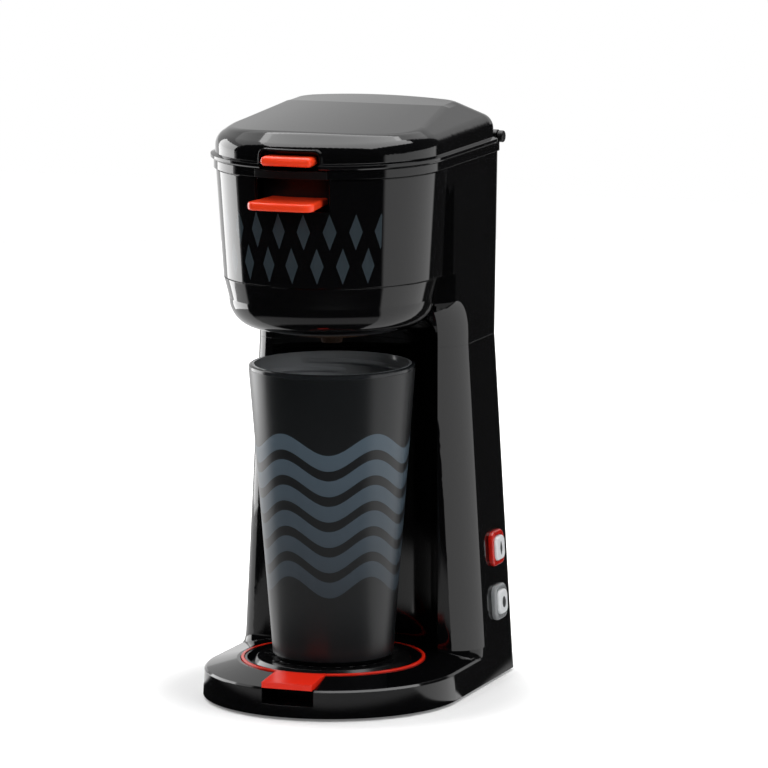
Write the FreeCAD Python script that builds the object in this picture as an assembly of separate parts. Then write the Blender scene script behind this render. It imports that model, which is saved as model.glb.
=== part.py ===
import FreeCAD, Part
import math
import os

# Compact single-serve drip coffee maker with its travel tumbler, as separate solids.
# Millimetres. X points to the viewer's right, Y to the back, Z up from the table.
# Pieces are drawn about the tumbler's axis (x = y = 0), and save() moves them to the middle of the footprint.

V = FreeCAD.Vector
UP = V(0, 0, 1)

# Walls and clearances
WALL = 2.5            # housing wall
THIN_WALL = 1.8       # inner mouldings
FIT = 0.3             # loose clearance between two mouldings
SLIDE_FIT = 0.4       # clearance round a piece that moves
SEAM = 0.5            # open seam line between two panels
PIN_FIT = 0.05        # radial running clearance on a hinge pin
OVER = 2.0            # how far a cutting tool runs past a face

# Base and tower
FOOT_H = 1.5
BASE_R = 65.8
BASE_BACK = 95.0
BACK_CORNER = 9.0
SKIRT_TOP = 15.5
SKIRT_EDGE = 1.0
DECK_TOP = 19.5
SEAM_Z = 175.5
TOWER_TOP_BACK = 93.5
COLUMN_FRONT = 31.0
COLUMN_CORNER = 15.0
RECESS_R = 54.5
RECESS_ROOF = 193.0
RECESS_ROUND = 14.0
FLARE_DEPTH = 4.0
FLARE_H = 6.0
FLARE_STEPS = 10

# Drip tray, grate and finger notch
TRAY_R = 46.5
TRAY_RING_W = 1.6
TRAY_TOP = 20.2
TRAY_H = 9.0
TAB_HALF = 13.3
TAB_T = 3.0
TAB_DROP = 1.7
NOTCH_FLOOR = 7.5
NOTCH_DEPTH = 14.8
GRATE_T = 1.6
GRATE_PLATEAU_R = 38.5
GRATE_MOAT_R = 41.0
GRATE_MOAT_DROP = 2.8
GRATE_RIM_W = 1.2
SLOT_COUNT = 28
SLOT_W = 2.4
SLOT_LAND = 3.0

# Tumbler
MUG_LIP_R = 42.0
MUG_FOOT_R = 30.3
MUG_H = 149.2
MUG_WALL = 1.2
MUG_SPACE = 1.0
MUG_LIP_H = 2.2
MUG_FOOT_EDGE = 2.0
MUG_PAD_H = 1.4
MUG_FLOOR_H = 6.0

# Head, sized round the brew basket
BASKET_R = 46.0
BASKET_ROOM = 3.1     # air between the basket and the head's inner wall
COVER_T = 2.0
COVER_LEAN = 3.5      # how far the cover leans out over its height
COVER_LOW_R = BASKET_R + BASKET_ROOM + WALL + FIT + COVER_T
COVER_TOP_R = COVER_LOW_R + COVER_LEAN
COVER_Z0 = 214.5
COVER_Z1 = 269.1
COVER_END_Y = 10.8
BOWL_BOTTOM = 189.0
BOWL_SIDE_IN = 2.6    # bowl radii, each so far inside the cover's lower edge
BOWL_MID_IN = 6.9
BOWL_FLAT_IN = 16.4
BOWL_MID_RISE = 4.3
BOWL_SIDE_RISE = 15.0
BOWL_SIDE_R = COVER_LOW_R - BOWL_SIDE_IN
BOWL_MID_R = COVER_LOW_R - BOWL_MID_IN
BOWL_FLAT_R = COVER_LOW_R - BOWL_FLAT_IN
SHOULDER_OUT = 2.1    # tower wider than the cover's lower edge
SHOULDER_Y = 22.0
TOWER_TOP_HALF = COVER_LOW_R + SHOULDER_OUT
HEAD_TOP_OUT = 0.1
HEAD_TOP_HALF = COVER_TOP_R + HEAD_TOP_OUT
HEAD_TOP_BACK = 94.0
HEAD_FLOOR_T = 3.0
NECK_COVE_Z = 180.0
NECK_COVE_R = 20.0
RIM_LIP = 1.1
RIM_R = COVER_TOP_R + RIM_LIP
RIM_H = 4.2
RIM_REAR_DROP = 2.3
OUTLET_R = 24.5
OUTLET_DROP = 3.1
NOZZLE_DROP = 8.5
NOZZLE_R = 7.0

# Brew basket
BASKET_FLANGE_W = 4.0
BASKET_FLANGE_R = BASKET_R + BASKET_FLANGE_W
BASKET_FLANGE_T = 1.5
BASKET_FLOOR = 196.0
BASKET_BEVEL_W = 8.0
BASKET_BEVEL_H = 12.0
BASKET_SPOUT_R = 9.0
BASKET_SPOUT_L = 4.0
HANDLE_TOP = 259.0
HANDLE_T = 4.0
HANDLE_ROOT_HALF = 15.0
HANDLE_TIP_HALF = 17.3
HANDLE_FRONT = 73.0
HANDLE_CORNER = 5.0
HANDLE_EDGE = 1.2
HANDLE_NOTCH_HALF = 19.5
HANDLE_NOTCH_FLOOR = 253.0
CAPSULE_TOP = 268.0
CAPSULE_R = 26.0
CAPSULE_DEPTH = 48.0
CAPSULE_DRAFT = 4.0
SEAT_W = 2.2
NEEDLE_R = 1.6
NEEDLE_LEN = 10.0
NEEDLE_POINT = 4.8
NEEDLE_TIP_R = 0.2

# Lid
LID_GAP = 0.4
LID_SET_IN = 0.8      # lid skirt inside the rim's edge
LID_R = RIM_R - LID_SET_IN
LID_BACK = 87.0
LID_SKIRT = 9.8
LID_TILT_DEG = 1.07
LID_WALL = 2.2
LINER_T = 1.8
HOLDER_R = 14.0
HOLDER_H = 6.0
GASKET_R = 32.0
GASKET_W = 3.0
GASKET_H = 1.2
BEAD_OUT = 2.4
BEAD_H = 3.0
BEVEL_DEG = 33.0
LID_ROUND = 8.0
DOME_FRONT_R = 268.0
DOME_REAR_R = 383.0
DOME_FRONT_DEG = 4.5
DOME_REAR_DEG = 1.0
CREASE_Y = 33.0
CREASE_RISE = 23.5
PULL_NOTCH_HALF = 15.5
PULL_NOTCH_H = 8.9
PULL_NOTCH_DEPTH = 6.0
PULL_NOTCH_CORNER = 3.0
PULL_LIP = 1.2
PULL_HALF = 13.4
PULL_BAR_H = 4.8
PULL_BAR_Z = 4.2
PULL_EDGE = 1.7
PULL_PROUD = 5.5
HINGE_Y = 91.5
HINGE_RISE = 2.4
HINGE_BARREL_R = 3.4
HINGE_PIN_R = 1.5
HINGE_KNOB_R = 3.0
HINGE_KNOB_L = 3.3
KNUCKLE_W = 10.0
EAR_W = 6.0
EAR_SET_IN = 1.5
EAR_END = HEAD_TOP_HALF - EAR_SET_IN

# Side buttons
BUTTON_Y = 69.0
BUTTON_Z = (67.3, 39.4)
BEZEL_SIZE = 18.0
BEZEL_CORNER = 5.0
BEZEL_PROUD = 2.3
BUTTON_SIZE = 12.4
BUTTON_CORNER = 3.5
BUTTON_PROUD = 3.6
BUTTON_EDGE = 1.2
BUTTON_TRAVEL = 1.5
BUTTON_STEM_R = 2.5
BUTTON_STEM = 5.0
SWITCH_SIZE = 6.0
SWITCH_H = 3.5
SWITCH_BODY_H = 2.1
LAMP_R = 1.5
BOARD_T = 1.6
BOARD_W = 30.0
BOARD_MARGIN = 14.0

# Water path
TANK_FLOOR = 216.0
TANK_FRONT = 14.0
SUMP_X0 = 9.0
SUMP_X1 = 46.0
SUMP_Y0 = 62.0
SUMP_Y1 = 87.0
SUMP_FLOOR = 186.0
HOSE_X = 27.0
HOSE_Y = 74.0
HOSE_R = 4.5
HOSE_BORE_R = 2.6
VALVE_R = 6.5
VALVE_H = 12.0
STRAINER_SLOT = 1.0
RISER_Y = 78.0
RISER_R = 3.5
RISER_BORE_R = 2.3
SEAL_LIP = 2.0
SEAL_LIP_H = 0.6
GROOVE_HALF = 6.0
HEATER_X = 36.0
HEATER_Y0 = 61.0
HEATER_Y1 = 88.0
HEATER_Z0 = 28.0
HEATER_H = 34.0
BRACKET_T = 1.5
THERMOSTAT_R = 8.0
THERMOSTAT_H = 4.5
BLADE_T = 0.8
BLADE_L = 2.4
FUSE_R = 2.2
FUSE_L = 12.0

# Base plate, screws and gland
PLATE_T = 2.0
FOOT_R = 7.0
SCREW_R = 1.3
SCREW_HEAD_R = 2.8
SCREW_HEAD_H = 1.4
BOSS_R = 3.6
SCREW_FIT = 0.05
BASE_SCREW_IN = 9.8
BASE_SCREW_R = BASE_R - BASE_SCREW_IN
BASE_SCREW_DEG = 48.0
SCREW_EDGE = 1.5      # plate left outside a screw head
REAR_SCREW_Y = 82.0
FRONT_SCREW_Y = 50.0
SCREW_BITE = 12.0
GLAND_X = -36.0
GLAND_Z = 16.0
GLAND_R = 6.5
GLAND_BORE_R = 3.6

# Levels that follow from the sizes above
RIM_Z0 = COVER_Z1 + FIT
RIM_Z1 = RIM_Z0 + RIM_H
LID_Z0 = RIM_Z1 + LID_GAP
LID_SKIRT_Z = LID_Z0 + LID_SKIRT
HINGE_Z = RIM_Z1 + HINGE_RISE
MUG_Z0 = TRAY_TOP + SLIDE_FIT
POCKET_R = TRAY_R + SLIDE_FIT
TRAY_Z0 = TRAY_TOP - TRAY_H
SIDE_TILT = (BASE_R - TOWER_TOP_HALF) / (SEAM_Z - FOOT_H)
SIDE_TILT_DEG = math.degrees(math.atan(SIDE_TILT))
FOOTPRINT_MID_Y = (BASE_BACK - HANDLE_FRONT) / 2


# Small geometry helpers

def line(a, b):
    return Part.LineSegment(a, b).toShape()


def arc(a, through, b):
    return Part.Arc(a, through, b).toShape()


def between(z, z0, v0, z1, v1):
    """Value on the straight line from v0 at z0 to v1 at z1."""
    return v0 + (v1 - v0) * (z - z0) / (z1 - z0)


def corner_arc(centre_x, centre_y, r, start_deg, z):
    """Quarter circle, anticlockwise from start_deg."""
    def point(deg):
        a = math.radians(deg)
        return V(centre_x + r * math.cos(a), centre_y + r * math.sin(a), z)
    return arc(point(start_deg), point(start_deg + 45), point(start_deg + 90))


def d_outline(z, front_r, half, back, corner, shoulder=0.0):
    """D-shaped outline: half circle in front, sides that widen up to the shoulder, round back corners."""
    left, right = V(-front_r, 0, z), V(front_r, 0, z)
    edges = [arc(left, V(0, -front_r, z), right)]
    if shoulder:
        edges.append(line(right, V(half, shoulder, z)))
        right = V(half, shoulder, z)
    edges.append(line(right, V(half, back - corner, z)))
    edges.append(corner_arc(half - corner, back - corner, corner, 0, z))
    edges.append(line(V(half - corner, back, z), V(corner - half, back, z)))
    edges.append(corner_arc(corner - half, back - corner, corner, 90, z))
    far = V(-half, back - corner, z)
    if shoulder:
        edges.append(line(far, V(-half, shoulder, z)))
        far = V(-half, shoulder, z)
    edges.append(line(far, left))
    return Part.Wire(edges)


def box_outline(z, half, front, back, front_corner, back_corner):
    """Rectangle with one radius on its front corners and another on its back corners."""
    fx, bx = half - front_corner, half - back_corner
    edges = [line(V(-fx, front, z), V(fx, front, z))]
    edges.append(corner_arc(fx, front + front_corner, front_corner, 270, z))
    edges.append(line(V(half, front + front_corner, z), V(half, back - back_corner, z)))
    edges.append(corner_arc(bx, back - back_corner, back_corner, 0, z))
    edges.append(line(V(bx, back, z), V(-bx, back, z)))
    edges.append(corner_arc(-bx, back - back_corner, back_corner, 90, z))
    edges.append(line(V(-half, back - back_corner, z), V(-half, front + front_corner, z)))
    edges.append(corner_arc(-fx, front + front_corner, front_corner, 180, z))
    return Part.Wire(edges)


def ruled(wires):
    return Part.makeLoft(wires, True, True)


def cylinder(r, z0, z1, x=0.0, y=0.0):
    return Part.makeCylinder(r, z1 - z0, V(x, y, z0), UP)


def tube(r, bore_r, z0, z1, x=0.0, y=0.0):
    return cylinder(r, z0, z1, x, y).cut(cylinder(bore_r, z0 - OVER, z1 + OVER, x, y))


def block(x0, x1, y0, y1, z0, z1):
    return Part.makeBox(x1 - x0, y1 - y0, z1 - z0, V(x0, y0, z0))


def across(r, x0, x1, y, z):
    """Cylinder along X."""
    return Part.makeCylinder(r, x1 - x0, V(x0, y, z), V(1, 0, 0))


def revolved(points):
    """Solid of revolution about the tumbler's axis from (radius, z) points."""
    face = Part.Face(Part.makePolygon([V(r, 0, z) for r, z in points + points[:1]]))
    return face.revolve(V(0, 0, 0), UP, 360)


def rounded_slab(half_y, half_z, corner, x0, x1):
    """Plate with rounded corners, square to X, about x axis."""
    outline = box_outline(0, half_y, -half_z, half_z, corner, corner)
    slab = Part.Face(outline).extrude(V(0, 0, x1 - x0))
    slab.rotate(V(0, 0, 0), V(0, 1, 0), 90)
    slab.rotate(V(0, 0, 0), V(1, 0, 0), 90)
    slab.translate(V(x0, 0, 0))
    return slab


def mirrored(shape):
    return shape.mirror(V(0, 0, 0), V(1, 0, 0))


def both_sides(shape):
    return Part.makeCompound([shape, mirrored(shape)])


SAVED = {}


def save(node, shape):
    """Move a piece to the middle of the footprint and write it as a node."""
    piece = shape.copy()
    piece.translate(V(0, -FOOTPRINT_MID_Y, 0))
    SAVED[node] = piece
    piece.exportStep("parts/" + node + ".step")


# Outlines of the housing at a height

def side_at(z):
    return between(z, FOOT_H, BASE_R, SEAM_Z, TOWER_TOP_HALF)


def back_at(z):
    return between(z, FOOT_H, BASE_BACK, SEAM_Z, TOWER_TOP_BACK)


def base_outline(z, inset):
    half = side_at(z) - inset
    return d_outline(z, half, half, back_at(z) - inset, max(BACK_CORNER - inset, WALL))


def tower_outline(z, inset, front):
    return box_outline(z, side_at(z) - inset, front, back_at(z) - inset,
                       COLUMN_CORNER, BACK_CORNER - inset)


def head_side_at(z):
    return between(z, SEAM_Z, TOWER_TOP_HALF, RIM_Z0, HEAD_TOP_HALF)


def head_back_at(z):
    return between(z, SEAM_Z, TOWER_TOP_BACK, RIM_Z0, HEAD_TOP_BACK)


def head_outline(z, inset):
    front_r = between(z, COVER_Z0, COVER_LOW_R, COVER_Z1, COVER_TOP_R)
    return d_outline(z, front_r - inset, head_side_at(z) - inset, head_back_at(z) - inset,
                     BACK_CORNER - inset, SHOULDER_Y)


def neck_outline(z, inset, front):
    return box_outline(z, head_side_at(z) - inset, front + inset, head_back_at(z) - inset,
                       COLUMN_CORNER, BACK_CORNER - inset)


def neck_loft(inset, z0, z1):
    """Neck whose front edges sweep forward under the head in a hollow curve."""
    wires = [neck_outline(z0, inset, COLUMN_FRONT)]
    for i in range(FLARE_STEPS + 1):
        turn = math.radians(90 * i / FLARE_STEPS)
        forward = NECK_COVE_R * (1 - math.cos(turn))
        z = NECK_COVE_Z + (NECK_COVE_R + inset) * math.sin(turn)
        wires.append(neck_outline(z, inset, COLUMN_FRONT - forward))
    wires.append(neck_outline(z1, inset, COLUMN_FRONT - NECK_COVE_R))
    return ruled(wires)


def recess(grow, z0):
    """Round niche for the tumbler, its roof curved into its wall."""
    niche = cylinder(RECESS_R + grow, z0, RECESS_ROOF + grow)
    rim = [e for e in niche.Edges if e.CenterOfMass.z > RECESS_ROOF + grow - FIT]
    return niche.makeFillet(RECESS_ROUND + grow, rim)


def head_loft(inset, z0, z1):
    return ruled([head_outline(z0, inset), head_outline(z1, inset)])


# Base, tower and what is screwed under them

def tower_flare():
    """Tower whose front edges sweep forward into the deck in a hollow curve."""
    foot_z = SKIRT_TOP
    wires = [tower_outline(FOOT_H, 0, COLUMN_FRONT - FLARE_DEPTH)]
    for i in range(FLARE_STEPS + 1):
        left = 1 - i / FLARE_STEPS
        forward = FLARE_DEPTH * (1 - math.sqrt(1 - left * left))
        wires.append(tower_outline(foot_z + FLARE_H * i / FLARE_STEPS, 0, COLUMN_FRONT - forward))
    wires.append(tower_outline(SEAM_Z, 0, COLUMN_FRONT))
    return ruled(wires).cut(cylinder(RECESS_R, 0, SEAM_Z + OVER))


def notch_tool(grow):
    """Finger notch under the tray tab, grown by a wall on every side but the top."""
    half = TAB_HALF + SLIDE_FIT + grow
    y0, y1 = -BASE_R - OVER, NOTCH_DEPTH - BASE_R + grow
    return block(-half, half, y0, y1, NOTCH_FLOOR - grow, DECK_TOP + OVER)


def base_screw_places():
    a = math.radians(BASE_SCREW_DEG)
    x, y = BASE_SCREW_R * math.sin(a), -BASE_SCREW_R * math.cos(a)
    rear_x = side_at(PLATE_TOP) - WALL - FIT - SCREW_EDGE - FIT - SCREW_HEAD_R
    return [(x, y), (-x, y), (rear_x, REAR_SCREW_Y), (-rear_x, REAR_SCREW_Y)]


def ribbed_boss(x, y, z0, z1):
    """Screw boss tied to the nearer side wall by a rib."""
    x0, x1 = sorted((x, math.copysign(BASE_R, x)))
    rib = block(x0, x1, y - THIN_WALL / 2, y + THIN_WALL / 2, z0, z1)
    return cylinder(BOSS_R, z0, z1, x, y).fuse(rib)


def head_screw_places():
    x = TOWER_TOP_HALF - WALL - FIT - SCREW_HEAD_R
    return [(side * x, y) for y in (FRONT_SCREW_Y, REAR_SCREW_Y) for side in (1, -1)]


def screw(x, y, z, downward):
    """Pan-head screw whose head sits against level z."""
    way = -1 if downward else 1
    head = cylinder(SCREW_HEAD_R, min(z, z - way * SCREW_HEAD_H), max(z, z - way * SCREW_HEAD_H), x, y)
    shank = cylinder(SCREW_R, min(z, z + way * SCREW_BITE), max(z, z + way * SCREW_BITE), x, y)
    return head.fuse(shank).removeSplitter()


def button_place(shape, z):
    """Move a piece drawn round the x axis, outer face at x = 0, onto the leaning right-hand wall."""
    placed = shape.copy()
    placed.rotate(V(0, 0, 0), V(0, 1, 0), -SIDE_TILT_DEG)
    placed.translate(V(side_at(z), BUTTON_Y, z))
    return placed


PLATE_TOP = FOOT_H + PLATE_T
WALL_HOLE = BUTTON_SIZE + 2 * SLIDE_FIT + 2 * THIN_WALL
BOARD_FACE = -WALL - BUTTON_STEM - BUTTON_TRAVEL - SWITCH_H - SLIDE_FIT
BUTTON_MID_Z = sum(BUTTON_Z) / 2
BOARD_H = BUTTON_Z[0] - BUTTON_Z[1] + 2 * BOARD_MARGIN


def base_housing():
    base = ruled([base_outline(FOOT_H, 0), base_outline(SKIRT_TOP - SKIRT_EDGE, 0),
                  base_outline(SKIRT_TOP, SKIRT_EDGE),
                  base_outline(DECK_TOP, side_at(DECK_TOP) - POCKET_R - THIN_WALL)])
    outer = base.fuse(tower_flare()).removeSplitter()
    under_deck = ruled([base_outline(FOOT_H - OVER, WALL), base_outline(SKIRT_TOP - WALL, WALL),
                        base_outline(DECK_TOP - WALL, side_at(DECK_TOP) - POCKET_R)])
    pocket_z = TRAY_Z0 - FIT
    cup = cylinder(POCKET_R + THIN_WALL, pocket_z - THIN_WALL, DECK_TOP + OVER)
    inside = under_deck.cut(cup).cut(notch_tool(THIN_WALL))
    shaft = ruled([tower_outline(FOOT_H - OVER, WALL, COLUMN_FRONT + WALL),
                   tower_outline(SEAM_Z + OVER, WALL, COLUMN_FRONT + WALL)])
    shaft = shaft.cut(cylinder(RECESS_R + WALL, 0, SEAM_Z + 2 * OVER))
    housing = outer.cut(inside).cut(shaft)
    housing = housing.cut(cylinder(POCKET_R, pocket_z, DECK_TOP + OVER)).cut(notch_tool(0))
    half = TAB_HALF + SLIDE_FIT
    groove_z = TRAY_TOP - TAB_DROP - TAB_T - FIT
    housing = housing.cut(block(-half, half, -BASE_R, -POCKET_R + OVER, groove_z, DECK_TOP + OVER))
    bosses = [cylinder(BOSS_R, PLATE_TOP, DECK_TOP - WALL / 2, x, y) for x, y in base_screw_places()[:2]]
    depth = 2 * SCREW_BITE
    bosses += [ribbed_boss(x, y, PLATE_TOP, PLATE_TOP + depth) for x, y in base_screw_places()[2:]]
    bosses += [ribbed_boss(x, y, SEAM_Z - depth, SEAM_Z) for x, y in head_screw_places()]
    envelope = outer.cut(cylinder(POCKET_R, pocket_z, DECK_TOP + OVER))
    housing = housing.fuse([boss.common(envelope) for boss in bosses] + board_posts())
    pilot = SCREW_R + SCREW_FIT
    for x, y in base_screw_places():
        housing = housing.cut(cylinder(pilot, PLATE_TOP - OVER, PLATE_TOP + SCREW_BITE, x, y))
    for x, y in head_screw_places():
        housing = housing.cut(cylinder(pilot, SEAM_Z - SCREW_BITE, SEAM_Z + OVER, x, y))
    for z in BUTTON_Z:
        hole = rounded_slab(WALL_HOLE / 2, WALL_HOLE / 2, BUTTON_CORNER, -2 * WALL, OVER)
        housing = housing.cut(button_place(hole, z))
    gland_at = V(GLAND_X, BASE_BACK + OVER, GLAND_Z)
    gland_hole = Part.makeCylinder(GLAND_R, 2 * WALL + OVER, gland_at, V(0, -1, 0))
    return housing.cut(gland_hole).removeSplitter()


def board_posts():
    """Two posts on the right-hand wall that carry the control board."""
    posts = []
    for dy in (-1, 1):
        post = across(BOSS_R / 2, BOARD_FACE, -WALL / 2, dy * (BOARD_W / 2 - BOSS_R), 0)
        posts.append(button_place(post, BUTTON_MID_Z))
    return posts


def base_plate():
    plate = ruled([base_outline(FOOT_H, WALL + FIT), base_outline(PLATE_TOP, WALL + FIT)])
    for x, y in base_screw_places():
        plate = plate.cut(cylinder(SCREW_R + FIT, 0, PLATE_TOP + OVER, x, y))
        plate = plate.cut(cylinder(SCREW_HEAD_R + FIT, 0, FOOT_H + SCREW_HEAD_H, x, y))
    return plate


def foot_places():
    x = BASE_SCREW_R - BOSS_R - FOOT_R
    back = BASE_BACK - WALL - 2 * FOOT_R
    return [(x, back), (-x, back), (x / 2, -x + FOOT_R), (-x / 2, -x + FOOT_R)]


# Head

def bowl_profile(inset, top):
    """Revolved bowl, drawn in by inset on every side."""
    z0 = BOWL_BOTTOM + inset
    shift = inset * math.sqrt(0.5)
    a, b = V(BOWL_FLAT_R, 0, z0), V(BOWL_MID_R - shift, 0, BOWL_BOTTOM + BOWL_MID_RISE + shift)
    c = V(BOWL_SIDE_R - inset, 0, BOWL_BOTTOM + BOWL_SIDE_RISE)
    top_r = between(top, BOWL_BOTTOM + BOWL_SIDE_RISE, BOWL_SIDE_R, COVER_Z0, COVER_LOW_R) - inset
    d, e, f = V(top_r, 0, top), V(0, 0, top), V(0, 0, z0)
    wire = Part.Wire([line(f, a), arc(a, b, c), line(c, d), line(d, e), line(e, f)])
    return Part.Face(wire).revolve(V(0, 0, 0), UP, 360)


def cover_zone():
    """Space in front of the end seams, between the cover's lower and upper edges."""
    reach = 2 * BASE_R
    return block(-reach, reach, -reach, COVER_END_Y, COVER_Z0, RIM_Z0 + OVER)


def handle_notch():
    half = HANDLE_NOTCH_HALF
    return block(-half, half, -2 * BASE_R, -BASKET_R / 2, HANDLE_NOTCH_FLOOR, RIM_Z1 + OVER)


def head_housing():
    upper = head_loft(0, COVER_Z0, RIM_Z0)
    behind = COVER_T + FIT
    ring = head_loft(-OVER, COVER_Z0, RIM_Z0).cut(head_loft(behind, COVER_Z0, RIM_Z0))
    upper = upper.cut(ring.common(cover_zone()))
    neck = neck_loft(0, SEAM_Z, COVER_Z0).common(head_loft(0, SEAM_Z, COVER_Z0))
    neck = neck.cut(recess(0, SEAM_Z - OVER))
    outer = upper.fuse([neck, bowl_profile(0, COVER_Z0)]).removeSplitter()
    neck_in = neck_loft(WALL, SEAM_Z + HEAD_FLOOR_T, COVER_Z0 + OVER)
    neck_in = neck_in.common(head_loft(WALL, SEAM_Z, COVER_Z0 + OVER)).cut(recess(WALL, SEAM_Z))
    front_in = head_loft(behind + WALL, COVER_Z0 - FIT, RIM_Z0 + OVER)
    rear_in = head_loft(WALL, COVER_Z0 - FIT, RIM_Z0 + OVER)
    rear_in = rear_in.common(block(-BASE_R, BASE_R, COVER_END_Y + WALL, BASE_BACK, COVER_Z0, RIM_Z1 + OVER))
    bowl_in = bowl_profile(WALL, COVER_Z0 + FIT)
    head = outer
    for space in (neck_in, front_in, rear_in, bowl_in):
        head = head.cut(space)
    head = head.cut(cylinder(OUTLET_R - THIN_WALL, BOWL_BOTTOM - OVER, BOWL_BOTTOM + 2 * WALL))
    head = head.cut(handle_notch())
    for x, y in head_screw_places():
        head = head.cut(cylinder(SCREW_R + FIT, SEAM_Z - OVER, SEAM_Z + 2 * HEAD_FLOOR_T, x, y))
    head = head.cut(cylinder(HOSE_R + FIT, SEAM_Z - OVER, SEAM_Z + 2 * HEAD_FLOOR_T, HOSE_X, HOSE_Y))
    head = head.cut(cylinder(RISER_R + FIT, SEAM_Z - OVER, SEAM_Z + 2 * HEAD_FLOOR_T, 0, RISER_Y))
    return head.removeSplitter()


def front_cover():
    panel = head_loft(0, COVER_Z0 + SEAM, COVER_Z1 - SEAM).cut(head_loft(COVER_T, COVER_Z0, COVER_Z1))
    reach = 2 * BASE_R
    panel = panel.common(block(-reach, reach, -reach, COVER_END_Y - SEAM, COVER_Z0, COVER_Z1))
    return panel.cut(handle_notch())


def rim_outline(z):
    side = RIM_R + HEAD_TOP_HALF - COVER_TOP_R
    return d_outline(z, RIM_R, side, HEAD_TOP_BACK, BACK_CORNER)


def tank_plan(inset, z0, z1):
    """Kidney-shaped space behind the brew basket, with a groove for the hot riser."""
    space = head_loft(WALL + FIT + inset, z0, z1)
    front = TANK_FRONT + inset
    space = space.common(block(-BASE_R, BASE_R, front, BASE_BACK, z0, z1))
    space = space.cut(cylinder(BASKET_FLANGE_R + SLIDE_FIT + WALL + inset, z0 - OVER, z1 + OVER))
    half = GROOVE_HALF + inset
    return space.cut(block(-half, half, RISER_Y - GROOVE_HALF - inset, BASE_BACK, z0 - OVER, z1 + OVER))


def top_frame():
    frame = ruled([rim_outline(RIM_Z0), rim_outline(RIM_Z1)])
    frame = frame.cut(cylinder(BASKET_R + FIT + SLIDE_FIT, RIM_Z0 - OVER, RIM_Z1 + OVER))
    seat_z = RIM_Z1 - BASKET_FLANGE_T - FIT
    frame = frame.cut(cylinder(BASKET_FLANGE_R + SLIDE_FIT, seat_z, RIM_Z1 + OVER))
    frame = frame.cut(tank_plan(THIN_WALL, RIM_Z0 - OVER, RIM_Z1 + OVER))
    half = HANDLE_NOTCH_HALF
    frame = frame.cut(block(-half, half, -2 * RIM_R, -BASKET_R / 2, RIM_Z0 - OVER, RIM_Z1 + OVER))
    strip_z = RIM_Z1 - RIM_REAR_DROP
    frame = frame.cut(block(-BASE_R, BASE_R, LID_BACK + FIT, BASE_BACK + OVER, strip_z, RIM_Z1 + OVER))
    ears = []
    for x1 in (EAR_END, EAR_END - EAR_W - KNUCKLE_W - 2 * FIT):
        x0 = x1 - EAR_W
        ear = across(HINGE_BARREL_R, x0, x1, HINGE_Y, HINGE_Z)
        foot = block(x0, x1, HINGE_Y - HINGE_BARREL_R, HEAD_TOP_BACK - FIT, strip_z - FIT, HINGE_Z)
        ears.append(ear.fuse(foot))
    ears += [mirrored(ear) for ear in ears]
    frame = frame.fuse(ears)
    for sign in (-1, 1):
        x0 = min(sign * EAR_END, 0) - OVER
        x1 = max(sign * EAR_END, 0) + OVER
        frame = frame.cut(across(HINGE_PIN_R + SCREW_FIT, x0, x1, HINGE_Y, HINGE_Z))
    port = cylinder(RISER_R + FIT, RIM_Z0 - OVER, RIM_Z1 + OVER, 0, RISER_Y)
    return frame.cut(port).removeSplitter()


def hinge_pin():
    x0 = EAR_END - 2 * EAR_W - KNUCKLE_W - 2 * FIT
    pin = across(HINGE_PIN_R, x0, EAR_END + HINGE_KNOB_L / 2, HINGE_Y, HINGE_Z)
    knob = across(HINGE_KNOB_R, EAR_END, EAR_END + HINGE_KNOB_L, HINGE_Y, HINGE_Z)
    rims = [e for e in knob.Edges if e.Curve.TypeId == "Part::GeomCircle"]
    knob = knob.makeFillet(HINGE_KNOB_R / 4, rims)
    return pin.fuse(knob).removeSplitter()


def outlet_dish():
    top = BOWL_BOTTOM
    low = BOWL_BOTTOM - OUTLET_DROP
    bore = NOZZLE_R - THIN_WALL
    edge = OUTLET_DROP / 2
    spigot = OUTLET_R - THIN_WALL - FIT
    inner = OUTLET_R - 2 * THIN_WALL
    return revolved([(bore, low), (OUTLET_R - edge, low), (OUTLET_R, low + edge), (OUTLET_R, top),
                     (spigot, top), (spigot, top + WALL), (inner, top + WALL),
                     (inner, low + THIN_WALL), (bore, low + THIN_WALL)])


def drip_nozzle():
    low = BOWL_BOTTOM - NOZZLE_DROP
    seat = BOWL_BOTTOM - OUTLET_DROP
    neck_r = NOZZLE_R - THIN_WALL - SCREW_FIT
    bore = neck_r - THIN_WALL
    top = BOWL_BOTTOM + FIT
    return revolved([(bore, low), (neck_r, low), (NOZZLE_R, seat), (neck_r, seat), (neck_r, top),
                     (bore, top)])


# Water path and electrics

def reservoir_tank():
    tank = tank_plan(0, TANK_FLOOR, RIM_Z0 - FIT)
    sump = block(SUMP_X0, SUMP_X1, SUMP_Y0, SUMP_Y1, SUMP_FLOOR, TANK_FLOOR + THIN_WALL)
    tank = tank.fuse(sump)
    tank = tank.cut(tank_plan(THIN_WALL, TANK_FLOOR + THIN_WALL, RIM_Z1))
    t = THIN_WALL
    x0, x1, y0, y1 = SUMP_X0 + t, SUMP_X1 - t, SUMP_Y0 + t, SUMP_Y1 - t
    tank = tank.cut(block(x0, x1, y0, y1, SUMP_FLOOR + t, TANK_FLOOR + OVER))
    tank = tank.cut(cylinder(HOSE_BORE_R, SUMP_FLOOR - OVER, SUMP_FLOOR + OVER, HOSE_X, HOSE_Y))
    return tank.removeSplitter()


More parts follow.
